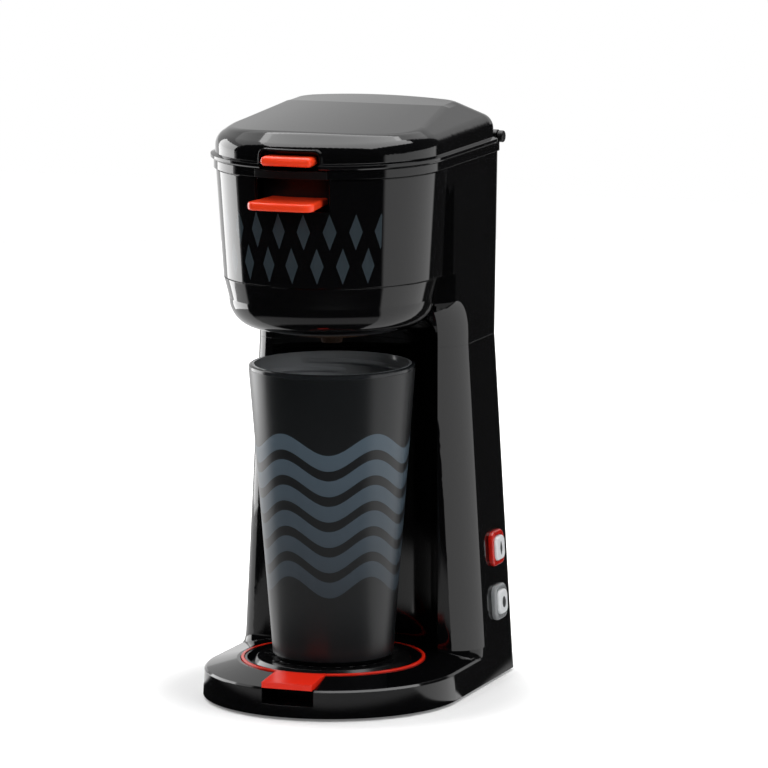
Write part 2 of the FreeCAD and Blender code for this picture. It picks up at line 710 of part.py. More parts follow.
def reservoir_strainer():
    z0 = SUMP_FLOOR + THIN_WALL
    cap = tube(VALVE_R, VALVE_R - THIN_WALL / 2, z0, z0 + VALVE_R, HOSE_X, HOSE_Y)
    lid = cylinder(VALVE_R, z0 + VALVE_R, z0 + VALVE_R + THIN_WALL / 2, HOSE_X, HOSE_Y)
    cap = cap.fuse(lid)
    half, reach = STRAINER_SLOT / 2, VALVE_R + OVER
    for i in range(4):
        bar = block(-reach, reach, -half, half, z0 + THIN_WALL, z0 + VALVE_R - THIN_WALL / 2)
        bar.rotate(V(0, 0, 0), UP, 45 * i)
        bar.translate(V(HOSE_X, HOSE_Y, 0))
        cap = cap.cut(bar)
    return cap.removeSplitter()


HEATER_TOP = HEATER_Z0 + HEATER_H
HOSE_TOP = SUMP_FLOOR - VALVE_H


def check_valve():
    body = tube(VALVE_R, HOSE_BORE_R, SUMP_FLOOR - VALVE_H + HOSE_R, SUMP_FLOOR, HOSE_X, HOSE_Y)
    spigot = tube(HOSE_R, HOSE_BORE_R, HOSE_TOP, SUMP_FLOOR - VALVE_H + HOSE_R, HOSE_X, HOSE_Y)
    return body.fuse(spigot).removeSplitter()


def heater_casting():
    """Cast horseshoe heater with the water way through its two ends."""
    outer = box_outline(HEATER_Z0, HEATER_X, HEATER_Y0, HEATER_Y1, BACK_CORNER, BACK_CORNER)
    body = Part.Face(outer).extrude(V(0, 0, HEATER_H))
    mid_y = (HEATER_Y0 + HEATER_Y1) / 2
    half = HEATER_X / 3
    body = body.cut(block(-half, half, HEATER_Y0 - OVER, mid_y, HEATER_Z0 - OVER, HEATER_TOP + OVER))
    body = body.cut(cylinder(HOSE_BORE_R, HEATER_TOP - HEATER_H / 2, HEATER_TOP + OVER, HOSE_X, HOSE_Y))
    body = body.cut(cylinder(RISER_BORE_R, HEATER_TOP - HEATER_H / 2, HEATER_TOP + OVER, 0, RISER_Y))
    return body


def heater_bracket():
    shelf = block(-HEATER_X, HEATER_X, HEATER_Y0, HEATER_Y1, HEATER_Z0 - BRACKET_T, HEATER_Z0)
    leg_z = PLATE_TOP
    legs = [block(x, x + BRACKET_T, HEATER_Y0, HEATER_Y1, leg_z, HEATER_Z0 - BRACKET_T)
            for x in (-HEATER_X, HEATER_X - BRACKET_T)]
    toes = [block(x, x + BOSS_R * 2, HEATER_Y0, HEATER_Y1, leg_z, leg_z + BRACKET_T)
            for x in (-HEATER_X, HEATER_X - BOSS_R * 2)]
    return shelf.fuse(legs + toes).removeSplitter()


def thermostat():
    x = (HEATER_X + HEATER_X / 3) / 2
    z = HEATER_Z0 + HEATER_H / 2
    can = Part.makeCylinder(THERMOSTAT_R, THERMOSTAT_H, V(x, HEATER_Y0, z), V(0, -1, 0))
    y1 = HEATER_Y0 - THERMOSTAT_H
    half = BLADE_T / 2
    blades = [block(x + s - half, x + s + half, y1 - BLADE_L, y1, z - BOSS_R, z + BOSS_R)
              for s in (-BOSS_R, BOSS_R)]
    return can.fuse(blades).removeSplitter()


def thermal_fuse():
    x = -(HEATER_X + HEATER_X / 3) / 2
    z = HEATER_TOP + FUSE_R
    body = across(FUSE_R, x - FUSE_L / 2, x + FUSE_L / 2, HOSE_Y, z)
    strap = block(x - FUSE_R / 2, x + FUSE_R / 2, HOSE_Y - 2 * FUSE_R, HOSE_Y + 2 * FUSE_R, HEATER_TOP,
                  z + FUSE_R + BRACKET_T / 2)
    return body.fuse(strap).removeSplitter()


def control_board():
    board = block(BOARD_FACE - BOARD_T, BOARD_FACE, -BOARD_W / 2, BOARD_W / 2, -BOARD_H / 2, BOARD_H / 2)
    return button_place(board, BUTTON_MID_Z)


def on_board(shape, z):
    """Place a piece drawn on the board's face, level with the button at height z."""
    moved = shape.copy()
    moved.translate(V(BOARD_FACE, 0, (z - BUTTON_MID_Z) / math.cos(math.radians(SIDE_TILT_DEG))))
    return button_place(moved, BUTTON_MID_Z)


def tact_switch(z):
    half = SWITCH_SIZE / 2
    body = block(0, SWITCH_BODY_H, -half, half, -half, half)
    plunger = across(SWITCH_SIZE / 4, SWITCH_BODY_H, SWITCH_H, 0, 0)
    return on_board(body.fuse(plunger).removeSplitter(), z)


def led_lamp(z):
    y = SWITCH_SIZE
    stem = across(LAMP_R, 0, LAMP_R * 2, y, 0)
    dome = Part.makeSphere(LAMP_R, V(LAMP_R * 2, y, 0))
    return on_board(stem.fuse(dome).removeSplitter(), z)


def button_bezel(z):
    half = BEZEL_SIZE / 2
    flange = rounded_slab(half, half, BEZEL_CORNER, 0, BEZEL_PROUD)
    rim = [e for e in flange.Edges if e.CenterOfMass.x > BEZEL_PROUD - 1e-6]
    flange = flange.makeFillet(BEZEL_PROUD / 2, rim)
    spigot_half = WALL_HOLE / 2 - SCREW_FIT
    spigot = rounded_slab(spigot_half, spigot_half, BUTTON_CORNER, -WALL, FIT)
    hole_half = BUTTON_SIZE / 2 + SLIDE_FIT
    hole = rounded_slab(hole_half, hole_half, BUTTON_CORNER + SLIDE_FIT, -WALL - OVER, BEZEL_PROUD + OVER)
    return button_place(flange.fuse(spigot).cut(hole).removeSplitter(), z)


def button_cap(z):
    half = BUTTON_SIZE / 2
    cap = rounded_slab(half, half, BUTTON_CORNER, -WALL, BUTTON_PROUD)
    rim = [e for e in cap.Edges if e.CenterOfMass.x > BUTTON_PROUD - 1e-6]
    cap = cap.makeFillet(BUTTON_EDGE, rim)
    stem = across(BUTTON_STEM_R, -WALL - BUTTON_STEM, -WALL, 0, 0)
    return button_place(cap.fuse(stem).removeSplitter(), z)


def cord_gland():
    """Rubber bush in the back wall where a mains lead enters."""
    out = V(0, 1, 0)
    inner = V(GLAND_X, back_at(GLAND_Z) - 2 * WALL - FIT, GLAND_Z)
    body = Part.makeCylinder(GLAND_R - SCREW_FIT, 2 * WALL, inner, out)
    collar = Part.makeCylinder(GLAND_R + THIN_WALL, THIN_WALL, inner, out)
    bore = Part.makeCylinder(GLAND_BORE_R, 4 * WALL, inner - out * WALL, out)
    return body.fuse(collar).cut(bore).removeSplitter()


RISER_TOP = RIM_Z0 + RIM_H / 2


def riser_seal():
    """Silicone seal on the riser's end, its lip on the frame under the lid's inlet."""
    lip_z = RIM_Z1 + SEAL_LIP_H
    sleeve = tube(RISER_R, RISER_BORE_R, RISER_TOP, lip_z, 0, RISER_Y)
    lip = tube(RISER_R + SEAL_LIP, RISER_BORE_R, RIM_Z1, lip_z, 0, RISER_Y)
    return sleeve.fuse(lip).removeSplitter()


# Lid

def lid_outline(z, inset):
    return d_outline(z, LID_R - inset, LID_R - inset, LID_BACK - inset, BACK_CORNER)


def tilted(shape, degrees, y, z):
    """Lean a roof piece so that it rises towards the back."""
    shape.rotate(V(0, y, z), V(1, 0, 0), degrees)
    return shape


def dome(radius, degrees, drop):
    """Everything under a barrel-vault roof whose ridge passes the crease point."""
    z = LID_Z0 + CREASE_RISE - drop
    barrel = Part.makeCylinder(radius, 8 * BASE_R, V(0, CREASE_Y - 4 * BASE_R, z - radius), V(0, 1, 0))
    return tilted(barrel, degrees, CREASE_Y, z)


def lid_form(inset):
    """Lid body: straight skirt, bevel all round, and two barrel vaults, their meeting edges rounded."""
    slope = math.tan(math.radians(BEVEL_DEG))
    body = ruled([lid_outline(LID_Z0, inset), lid_outline(LID_Z0 + 2 * CREASE_RISE, inset)])
    below, above = 2 * LID_SKIRT, CREASE_RISE - LID_SKIRT / 2
    low, high = LID_SKIRT_Z - inset / 2 - below, LID_SKIRT_Z - inset / 2 + above
    bevel = ruled([lid_outline(low, inset - below / slope), lid_outline(high, inset + above / slope)])
    bevel = tilted(bevel, LID_TILT_DEG, -LID_R, LID_SKIRT_Z)
    form = body.common(bevel).common(dome(DOME_FRONT_R, DOME_FRONT_DEG, inset))
    form = form.common(dome(DOME_REAR_R, DOME_REAR_DEG, inset))
    upper_edges = [e for e in form.Edges if min(v.Z for v in e.Vertexes) > LID_SKIRT_Z + OVER]
    return form.makeFillet(LID_ROUND - inset, upper_edges)


def pull_notch(grow, y1):
    """Rounded notch in the lid's front skirt, up to depth y1."""
    half = PULL_NOTCH_HALF + grow
    z1 = LID_Z0 + PULL_NOTCH_H + grow
    z0 = LID_Z0 - OVER
    corner = PULL_NOTCH_CORNER + grow
    y0 = -LID_R - 2 * BEAD_OUT
    a, b = V(-half, y0, z0), V(half, y0, z0)
    c, d = V(half, y0, z1 - corner), V(half - corner, y0, z1)
    e, f = V(corner - half, y0, z1), V(-half, y0, z1 - corner)
    bend = corner * (1 - math.sqrt(0.5))
    wire = Part.Wire([line(a, b), line(b, c), arc(c, V(half - bend, y0, z1 - bend), d), line(d, e),
                      arc(e, V(bend - half, y0, z1 - bend), f), line(f, a)])
    return Part.Face(wire).extrude(V(0, y1 - y0, 0))


NOTCH_BACK_Y = PULL_NOTCH_DEPTH - LID_R


def lid_bead():
    """Round-edged lip along the front and sides of the lid's lower edge."""
    def lip(rise, out):
        return d_outline(LID_Z0 + rise, LID_R + out, LID_R + out, LID_BACK, BACK_CORNER)
    edge = BEAD_H / 4
    return ruled([lip(0, BEAD_OUT - edge), lip(edge, BEAD_OUT), lip(BEAD_H - edge, BEAD_OUT),
                  lip(BEAD_H, 0)])


def lid_shell():
    form = lid_form(0).fuse(lid_bead())
    lip_skin = ruled([lid_outline(LID_Z0, -PULL_LIP), lid_outline(LID_SKIRT_Z + OVER, -PULL_LIP)])
    front = block(-LID_R, LID_R, -2 * LID_R, NOTCH_BACK_Y, LID_Z0, LID_SKIRT_Z)
    form = form.fuse(pull_notch(PULL_LIP, NOTCH_BACK_Y).common(lip_skin).common(front))
    hollow = lid_form(LID_WALL)
    below = ruled([lid_outline(LID_Z0 - OVER, LID_WALL), lid_outline(LID_Z0 + FIT, LID_WALL)])
    hollow = hollow.fuse(below).cut(pull_notch(LID_WALL, NOTCH_BACK_Y + LID_WALL))
    shell = form.cut(hollow).cut(pull_notch(0, NOTCH_BACK_Y))
    x1 = EAR_END - EAR_W - FIT
    x0 = x1 - KNUCKLE_W
    barrel = across(HINGE_BARREL_R, x0, x1, HINGE_Y, HINGE_Z)
    web = block(x0, x1, LID_BACK - LID_WALL, HINGE_Y, LID_Z0 + FIT, HINGE_Z + HINGE_BARREL_R)
    knuckle = barrel.fuse(web)
    shell = shell.fuse([knuckle, mirrored(knuckle)])
    for sign in (-1, 1):
        a, b = sorted((sign * (x0 - OVER), sign * (x1 + OVER)))
        shell = shell.cut(across(HINGE_PIN_R + PIN_FIT, a, b, HINGE_Y, HINGE_Z))
    return shell.removeSplitter()


LINER_Z0 = LID_Z0 + FIT
LINER_Z1 = LINER_Z0 + LINER_T


def lid_liner():
    """Plate under the lid with the covered channel that brings hot water to the needle."""
    plate = ruled([lid_outline(LINER_Z0, LID_WALL + FIT), lid_outline(LINER_Z1, LID_WALL + FIT)])
    plate = plate.cut(pull_notch(LID_WALL + FIT, NOTCH_BACK_Y + LID_WALL + FIT))
    duct_half = RISER_R + THIN_WALL
    way_top = LINER_Z1 + RISER_R
    duct = block(-duct_half, duct_half, -duct_half, RISER_Y + duct_half, LINER_Z0, way_top + THIN_WALL)
    bore = RISER_BORE_R
    plate = plate.fuse(duct).cut(block(-bore, bore, -bore, RISER_Y + bore, LINER_Z1, way_top))
    plate = plate.cut(cylinder(RISER_BORE_R, LINER_Z0 - OVER, LINER_Z1 + FIT, 0, RISER_Y))
    return plate.cut(cylinder(RISER_BORE_R, LINER_Z0 - OVER, LINER_Z1 + FIT)).removeSplitter()


def lid_gasket():
    half = GASKET_W / 2
    return tube(GASKET_R + half, GASKET_R - half, LINER_Z0 - GASKET_H, LINER_Z0)


def lid_pull_bar():
    half_h = PULL_BAR_H / 2
    z = LID_Z0 + PULL_BAR_Z
    bar = block(-PULL_HALF, PULL_HALF, -LID_R - PULL_PROUD, NOTCH_BACK_Y, z - half_h, z + half_h)
    return rounded_bar(bar, half_h)


def rounded_bar(bar, half_h):
    """Round the bar's long edges and its ends like a moulded grip."""
    long_edges = [e for e in bar.Edges if e.Length > PULL_HALF]
    upright = [e for e in bar.Edges if abs(e.Vertexes[0].Z - e.Vertexes[-1].Z) > half_h
               and e.CenterOfMass.y < -LID_R]
    front_edges = [e for e in long_edges if e.CenterOfMass.y < -LID_R]
    return bar.makeFillet(PULL_EDGE, upright + front_edges)


def needle_holder():
    z0 = LINER_Z0 - HOLDER_H
    body = cylinder(HOLDER_R, LINER_Z0 - HOLDER_H / 3, LINER_Z0)
    stem = cylinder(HOLDER_R / 2, z0, LINER_Z0)
    return body.fuse(stem).cut(cylinder(NEEDLE_R + SCREW_FIT, z0 - OVER, LINER_Z0 + OVER)).removeSplitter()


def upper_needle():
    top = LINER_Z0 - SCREW_FIT
    tip = LINER_Z0 - HOLDER_H - NEEDLE_LEN
    shank = cylinder(NEEDLE_R, tip + NEEDLE_POINT, top)
    point = Part.makeCone(NEEDLE_TIP_R, NEEDLE_R, NEEDLE_POINT, V(0, 0, tip), UP)
    return shank.fuse(point).removeSplitter()


# Brew basket, which lifts out upward by its handle

def brew_basket():
    top = RIM_Z1 - FIT
    flange_z = top - BASKET_FLANGE_T
    bevel_z = BASKET_FLOOR + BASKET_BEVEL_H
    cup = revolved([(0, BASKET_FLOOR), (BASKET_R - BASKET_BEVEL_W, BASKET_FLOOR), (BASKET_R, bevel_z),
                    (BASKET_R, flange_z), (BASKET_FLANGE_R, flange_z), (BASKET_FLANGE_R, top), (0, top)])
    inner = BASKET_R - THIN_WALL
    floor = BASKET_FLOOR + THIN_WALL
    seat = CAPSULE_TOP - THIN_WALL
    hollow = revolved([(0, floor), (inner - BASKET_BEVEL_W, floor), (inner, bevel_z + THIN_WALL / 2),
                       (inner, seat - 2 * SEAT_W), (inner - SEAT_W, seat - SEAT_W), (inner - SEAT_W, seat),
                       (inner, seat), (inner, top + OVER), (0, top + OVER)])
    half = HANDLE_NOTCH_HALF - SLIDE_FIT
    bridge = ruled([rim_outline(RIM_Z0), rim_outline(top)])
    bridge = bridge.common(block(-half, half, -2 * RIM_R, -BASKET_R / 2, RIM_Z0, top))
    cup = cup.fuse(bridge.cut(cylinder(inner, RIM_Z0 - OVER, RIM_Z1 + OVER)))
    spout_z = BASKET_FLOOR - BASKET_SPOUT_L
    cup = cup.cut(hollow).fuse(cylinder(BASKET_SPOUT_R, spout_z, BASKET_FLOOR + FIT))
    drain = cylinder(BASKET_SPOUT_R - THIN_WALL, spout_z - OVER, BASKET_FLOOR + 2 * THIN_WALL)
    return cup.cut(drain).removeSplitter()


def basket_handle():
    """Flat grip that widens towards its rounded front corners."""
    z0, z1 = HANDLE_TOP - HANDLE_T, HANDLE_TOP
    root_y = -BASKET_R / 2
    tip_y = HANDLE_CORNER - HANDLE_FRONT
    half, tip = HANDLE_ROOT_HALF, HANDLE_TIP_HALF
    front = tip - HANDLE_CORNER
    bend = HANDLE_CORNER * (1 - math.sqrt(0.5))
    wide_y = -BASKET_R - HANDLE_CORNER
    p = [V(-half, root_y, z0), V(half, root_y, z0), V(half, wide_y, z0), V(tip, tip_y, z0),
         V(front, -HANDLE_FRONT, z0), V(-front, -HANDLE_FRONT, z0), V(-tip, tip_y, z0),
         V(-half, wide_y, z0)]
    edges = [line(p[i], p[(i + 1) % 8]) for i in (0, 1, 2, 4, 6, 7)]
    edges.insert(3, arc(p[3], V(tip - bend, bend - HANDLE_FRONT, z0), p[4]))
    edges.insert(5, arc(p[5], V(bend - tip, bend - HANDLE_FRONT, z0), p[6]))
    grip = Part.Face(Part.Wire(edges)).extrude(V(0, 0, z1 - z0))
    grip = grip.cut(cylinder(BASKET_R, z0 - OVER, z1 + OVER))
    edges = [e for e in grip.Edges if abs(e.Vertexes[0].Z - e.Vertexes[-1].Z) < 1e-6
             and e.CenterOfMass.y < -BASKET_R]
    return grip.makeFillet(HANDLE_EDGE, edges)


def capsule_holder():
    """Tapered cup that carries a capsule under the needle, with a wide lip on the basket's seat."""
    top = CAPSULE_TOP
    floor = top - CAPSULE_DEPTH
    low_r = CAPSULE_R - CAPSULE_DRAFT
    t = THIN_WALL
    lip_r = BASKET_R - t - SLIDE_FIT
    cup = revolved([(0, floor), (low_r, floor), (CAPSULE_R, top - t), (lip_r, top - t), (lip_r, top),
                    (CAPSULE_R - t, top), (low_r - t, floor + t), (0, floor + t)])
    return cup.cut(cylinder(NEEDLE_R + SCREW_FIT, floor - OVER, floor + 2 * OVER, low_r / 2, 0))


def lower_needle():
    floor = CAPSULE_TOP - CAPSULE_DEPTH
    x = (CAPSULE_R - CAPSULE_DRAFT) / 2
    shank = cylinder(NEEDLE_R, floor - OVER, floor + NEEDLE_LEN / 2, x, 0)
    point = Part.makeCone(NEEDLE_R, NEEDLE_TIP_R, NEEDLE_POINT, V(x, 0, floor + NEEDLE_LEN / 2), UP)
    return shank.fuse(point).removeSplitter()


# Drip tray and tumbler

def drip_tray():
    z0, z1 = TRAY_Z0, TRAY_TOP
    t = THIN_WALL
    cup = cylinder(TRAY_R, z0, z1).cut(cylinder(TRAY_R - TRAY_RING_W, z0 + t, z1 + OVER))
    front = BASE_R - SKIRT_EDGE
    a, b = V(-TAB_HALF, -TRAY_R / 2, z1), V(-TAB_HALF, -TRAY_R, z1)
    c = V(-TAB_HALF, -front, z1 - TAB_DROP)
    down = V(0, 0, -TAB_T)
    side = Part.Face(Part.makePolygon([a, b, c, c + down, b + down, a + down, a]))
    tab = side.extrude(V(2 * TAB_HALF, 0, 0)).cut(cylinder(TRAY_R - TRAY_RING_W, z0, z1 + OVER))
    return cup.fuse(tab).removeSplitter()


def drip_grate():
    """Slotted plate: a rim inside the red ring, a moat, and a raised plateau that carries the tumbler."""
    top = TRAY_TOP
    r0 = TRAY_R - TRAY_RING_W - FIT
    low = top - GRATE_MOAT_DROP
    plateau = top + SLIDE_FIT / 2
    t = GRATE_T
    r_rim = r0 - GRATE_RIM_W
    leg_r = GRATE_PLATEAU_R - t
    plate = revolved([(0, plateau), (GRATE_PLATEAU_R, plateau), (GRATE_MOAT_R, low), (r_rim, top - FIT),
                      (r0, top - FIT), (r0, low - t), (leg_r, low - t), (leg_r, plateau - t),
                      (0, plateau - t)])
    legs = tube(leg_r, leg_r - t, TRAY_Z0 + THIN_WALL, plateau - t / 2)
    plate = plate.fuse(legs)
    rows = ((MUG_FOOT_R + FIT, leg_r - t - FIT), (MUG_FOOT_R / 2, MUG_FOOT_R - SLOT_LAND))
    slots = []
    for i in range(SLOT_COUNT):
        turn = 360 * i / SLOT_COUNT
        for r1, r2 in rows:
            slot = block(r1, r2, -SLOT_W / 2, SLOT_W / 2, low - 2 * t, top + OVER)
            slot.rotate(V(0, 0, 0), UP, turn)
            slots.append(slot)
    return plate.cut(slots).removeSplitter()


def mug_r(z):
    return between(z, MUG_Z0, MUG_FOOT_R, MUG_Z0 + MUG_H, MUG_LIP_R)


def mug_shell():
    z0, z1 = MUG_Z0, MUG_Z0 + MUG_H - MUG_LIP_H
    e = MUG_FOOT_EDGE
    t = MUG_WALL
    return revolved([(mug_r(z0) - e, z0), (mug_r(z0 + e), z0 + e), (mug_r(z1), z1), (mug_r(z1) - t, z1),
                     (mug_r(z0 + e) - t, z0 + e), (mug_r(z0) - e - t, z0)])


def mug_liner():
    """Inner cup whose lip covers the outer shell's top edge."""
    lip, z1 = MUG_Z0 + MUG_H - MUG_LIP_H, MUG_Z0 + MUG_H
    skin = MUG_WALL + MUG_SPACE
    floor = MUG_Z0 + MUG_FLOOR_H
    t = MUG_WALL
    edge = t / 2
    lip_in = mug_r(lip) - skin
    return revolved([(0, floor), (mug_r(floor) - skin, floor), (lip_in, lip - skin), (lip_in, lip),
                     (mug_r(lip), lip), (mug_r(z1) - edge / 2, z1 - edge), (mug_r(z1) - 2 * edge, z1),
                     (lip_in - edge, z1), (lip_in - t, lip), (mug_r(floor) - skin - t, floor + t),
                     (0, floor + t)])


def mug_base_pad():
    r = mug_r(MUG_Z0) - MUG_FOOT_EDGE - MUG_WALL - SCREW_FIT
    pad = cylinder(r, MUG_Z0, MUG_Z0 + MUG_PAD_H)
    post = cylinder(r / 2, MUG_Z0 + MUG_PAD_H, MUG_Z0 + MUG_FLOOR_H)
    return pad.fuse(post).removeSplitter()


def main():
    os.makedirs("parts", exist_ok=True)
    save("base_housing", base_housing())
    save("base_plate", base_plate())
    save("rubber_feet", Part.makeCompound([cylinder(FOOT_R, 0, FOOT_H, x, y) for x, y in foot_places()]))
    save("base_screws", Part.makeCompound(
        [screw(x, y, FOOT_H + SCREW_HEAD_H, False) for x, y in base_screw_places()]))
    save("head_housing", head_housing())
    save("front_cover", front_cover())
    save("top_frame", top_frame())
    save("hinge_pins", both_sides(hinge_pin()))
    save("outlet_dish", outlet_dish())
    save("drip_nozzle", drip_nozzle())
    save("head_screws", Part.makeCompound(
        [screw(x, y, SEAM_Z + HEAD_FLOOR_T, True) for x, y in head_screw_places()]))
    save("reservoir_tank", reservoir_tank())
    save("reservoir_strainer", reservoir_strainer())
    save("check_valve", check_valve())
    save("cold_hose", tube(HOSE_R, HOSE_BORE_R, HEATER_TOP, HOSE_TOP, HOSE_X, HOSE_Y))
    save("heater_casting", heater_casting())
    save("heater_bracket", heater_bracket())
    save("thermostat", thermostat())
    save("thermal_fuse", thermal_fuse())
    save("hot_riser", tube(RISER_R, RISER_BORE_R, HEATER_TOP, RISER_TOP, 0, RISER_Y))
    save("riser_seal", riser_seal())
    save("control_board", control_board())
    save("tact_switches", Part.makeCompound([tact_switch(z) for z in BUTTON_Z]))
    save("led_lamps", Part.makeCompound([led_lamp(z) for z in BUTTON_Z]))
    for name, z in zip(("upper", "lower"), BUTTON_Z):
        save("button_bezel_" + name, button_bezel(z))
        save("button_cap_" + name, button_cap(z))
    save("cord_gland", cord_gland())
    save("lid_shell", lid_shell())
    save("lid_liner", lid_liner())
    save("lid_gasket", lid_gasket())
    save("lid_pull_bar", lid_pull_bar())
    save("needle_holder", needle_holder())
    save("upper_needle", upper_needle())
    save("brew_basket", brew_basket())
    save("basket_handle", basket_handle())
    save("capsule_holder", capsule_holder())
    save("lower_needle", lower_needle())
    save("drip_tray", drip_tray())
    save("drip_grate", drip_grate())
    save("mug_shell", mug_shell())
    save("mug_liner", mug_liner())
    save("mug_base_pad", mug_base_pad())
    for node, shape in SAVED.items():
        box = shape.optimalBoundingBox()
        print(node, shape.isValid(), len(shape.Solids), round(shape.Volume), [round(v, 1) for v in (
            box.XMin, box.YMin, box.ZMin, box.XMax, box.YMax, box.ZMax)])


main()
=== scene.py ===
# %% [markdown]
# # Compact drip coffee maker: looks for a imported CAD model
# The CAD model is the fixed frame: every solid is already in its place, in metres.
# This lesson gives each solid the finish of its real material, adds the fine forms that belong to
# looks (the thread inside the tumbler, the rolled pull bar and the marks on the buttons), and
# lights the whole like a small product studio.

# %% Load the frame
import bpy
import bmesh
import math
from mathutils import Matrix, Vector


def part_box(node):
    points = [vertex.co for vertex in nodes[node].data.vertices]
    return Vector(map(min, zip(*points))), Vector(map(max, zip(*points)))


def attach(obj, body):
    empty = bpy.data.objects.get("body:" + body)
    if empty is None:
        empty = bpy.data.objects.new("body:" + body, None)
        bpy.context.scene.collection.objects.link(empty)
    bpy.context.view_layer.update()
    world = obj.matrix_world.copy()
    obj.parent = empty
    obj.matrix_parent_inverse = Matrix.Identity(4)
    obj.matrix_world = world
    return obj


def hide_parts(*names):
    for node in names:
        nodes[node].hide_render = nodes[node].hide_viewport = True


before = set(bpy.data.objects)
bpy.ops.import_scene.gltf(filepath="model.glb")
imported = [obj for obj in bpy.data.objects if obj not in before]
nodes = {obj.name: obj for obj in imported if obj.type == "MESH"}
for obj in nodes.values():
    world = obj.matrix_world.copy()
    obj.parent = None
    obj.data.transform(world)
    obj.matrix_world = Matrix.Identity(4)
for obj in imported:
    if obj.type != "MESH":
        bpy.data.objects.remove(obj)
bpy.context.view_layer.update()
MM = 0.001
print("CAD nodes:", len(nodes))

# %% [markdown]
# ## Camera
# The view was worked out from the tumbler's two ellipses and the upright edges of the tower: a
# long lens, about three metres away, a little to the right and a little above. A solved view
# comes as directions and not as angles, so the camera is set from its right and up directions.

# %% Camera at the photograph's viewing angle
CAMERA_AT = Vector((1.060262, -2.770685, 0.633173))
CAMERA_RIGHT = Vector((0.936767, 0.349941, -0.003029))
CAMERA_UP = Vector((-0.052630, 0.149432, 0.987370))
SENSOR_MM = 36.0
PICTURE_PX = 768
FOCAL_PX = 5970.646
FAR_CLIP = 50.0

camera_data = bpy.data.cameras.new("studio_camera")
camera_data.sensor_width = SENSOR_MM
camera_data.lens = SENSOR_MM * FOCAL_PX / PICTURE_PX
camera_data.clip_end = FAR_CLIP
camera = bpy.data.objects.new("studio_camera", camera_data)
bpy.context.scene.collection.objects.link(camera)
back = CAMERA_RIGHT.cross(CAMERA_UP).normalized()
up = back.cross(CAMERA_RIGHT).normalized()
turn = Matrix((CAMERA_RIGHT, up, back)).transposed().to_4x4()
camera.matrix_world = Matrix.Translation(CAMERA_AT) @ turn
bpy.context.scene.camera = camera
bpy.context.scene.view_settings.view_transform = "Standard"
print("lens", round(camera_data.lens, 1), "mm")

# %% [markdown]
# ## Colour and nodes
# Colours are written as sRGB hex values, as a designer would pick them, and one function turns
# them to the linear values that shaders use. One more function adds a node with its settings
# and links, so every material reads as a list of steps.

# %% Helpers for materials


def linear(hex_code):
    """sRGB hex to a linear RGBA tuple."""
    channels = [int(hex_code[i:i + 2], 16) / 255 for i in (1, 3, 5)]
    return tuple(c / 12.92 if c <= 0.04045 else ((c + 0.055) / 1.055) ** 2.4 for c in channels) + (1.0,)


def shade(value, hex_code):
    """A colour made lighter or darker by a factor."""
    return [min(1.0, c * value) for c in linear(hex_code)[:3]] + [1.0]


def add(tree, kind, links=(), **settings):
    """Add a node; settings are attributes, or socket values when they start with in_."""
    node = tree.nodes.new(kind)
    for key, value in settings.items():
        if key.startswith("in_"):
            name = key[3:]
            node.inputs[int(name) if name.isdigit() else name.replace("_", " ")].default_value = value
        else:
            setattr(node, key, value)
    for source, target in links:
        tree.links.new(source, node.inputs[target])
    return node


def new_material(name):
    """Empty node material; returns the material and its tree."""
    material = bpy.data.materials.new(name)
    material.use_nodes = True
    material.node_tree.nodes.clear()
    return material, material.node_tree


print("mid grey #808080 is", round(linear("#808080")[0], 3), "in linear light")

# %% [markdown]
# ## Moulded skins
# Most of the machine is injection-moulded ABS. A polished mould gives a nearly mirror-like skin;
# a spark-eroded mould gives a fine grain and a dull skin. Both are one recipe: a colour and a
# roughness that drift a little over some centimetres, a fine bump sized in millimetres, and
# edges rounded by a few tenths of a millimetre, as every mould leaves them. A real grain is about
# 0.1 mm, which no pixel would show, so it is drawn at half a millimetre to one millimetre. Cast and
# pressed metal takes the same recipe. A print is a second colour laid over the first where a
# mask says so.

# %% Skin recipe
DRIFT_MM = 60.0
TONE_DRIFT = 0.06
GLOSS_DRIFT = 0.08
GRAIN_DEPTH_SHARE = 0.2
EDGE_SAMPLES = 4


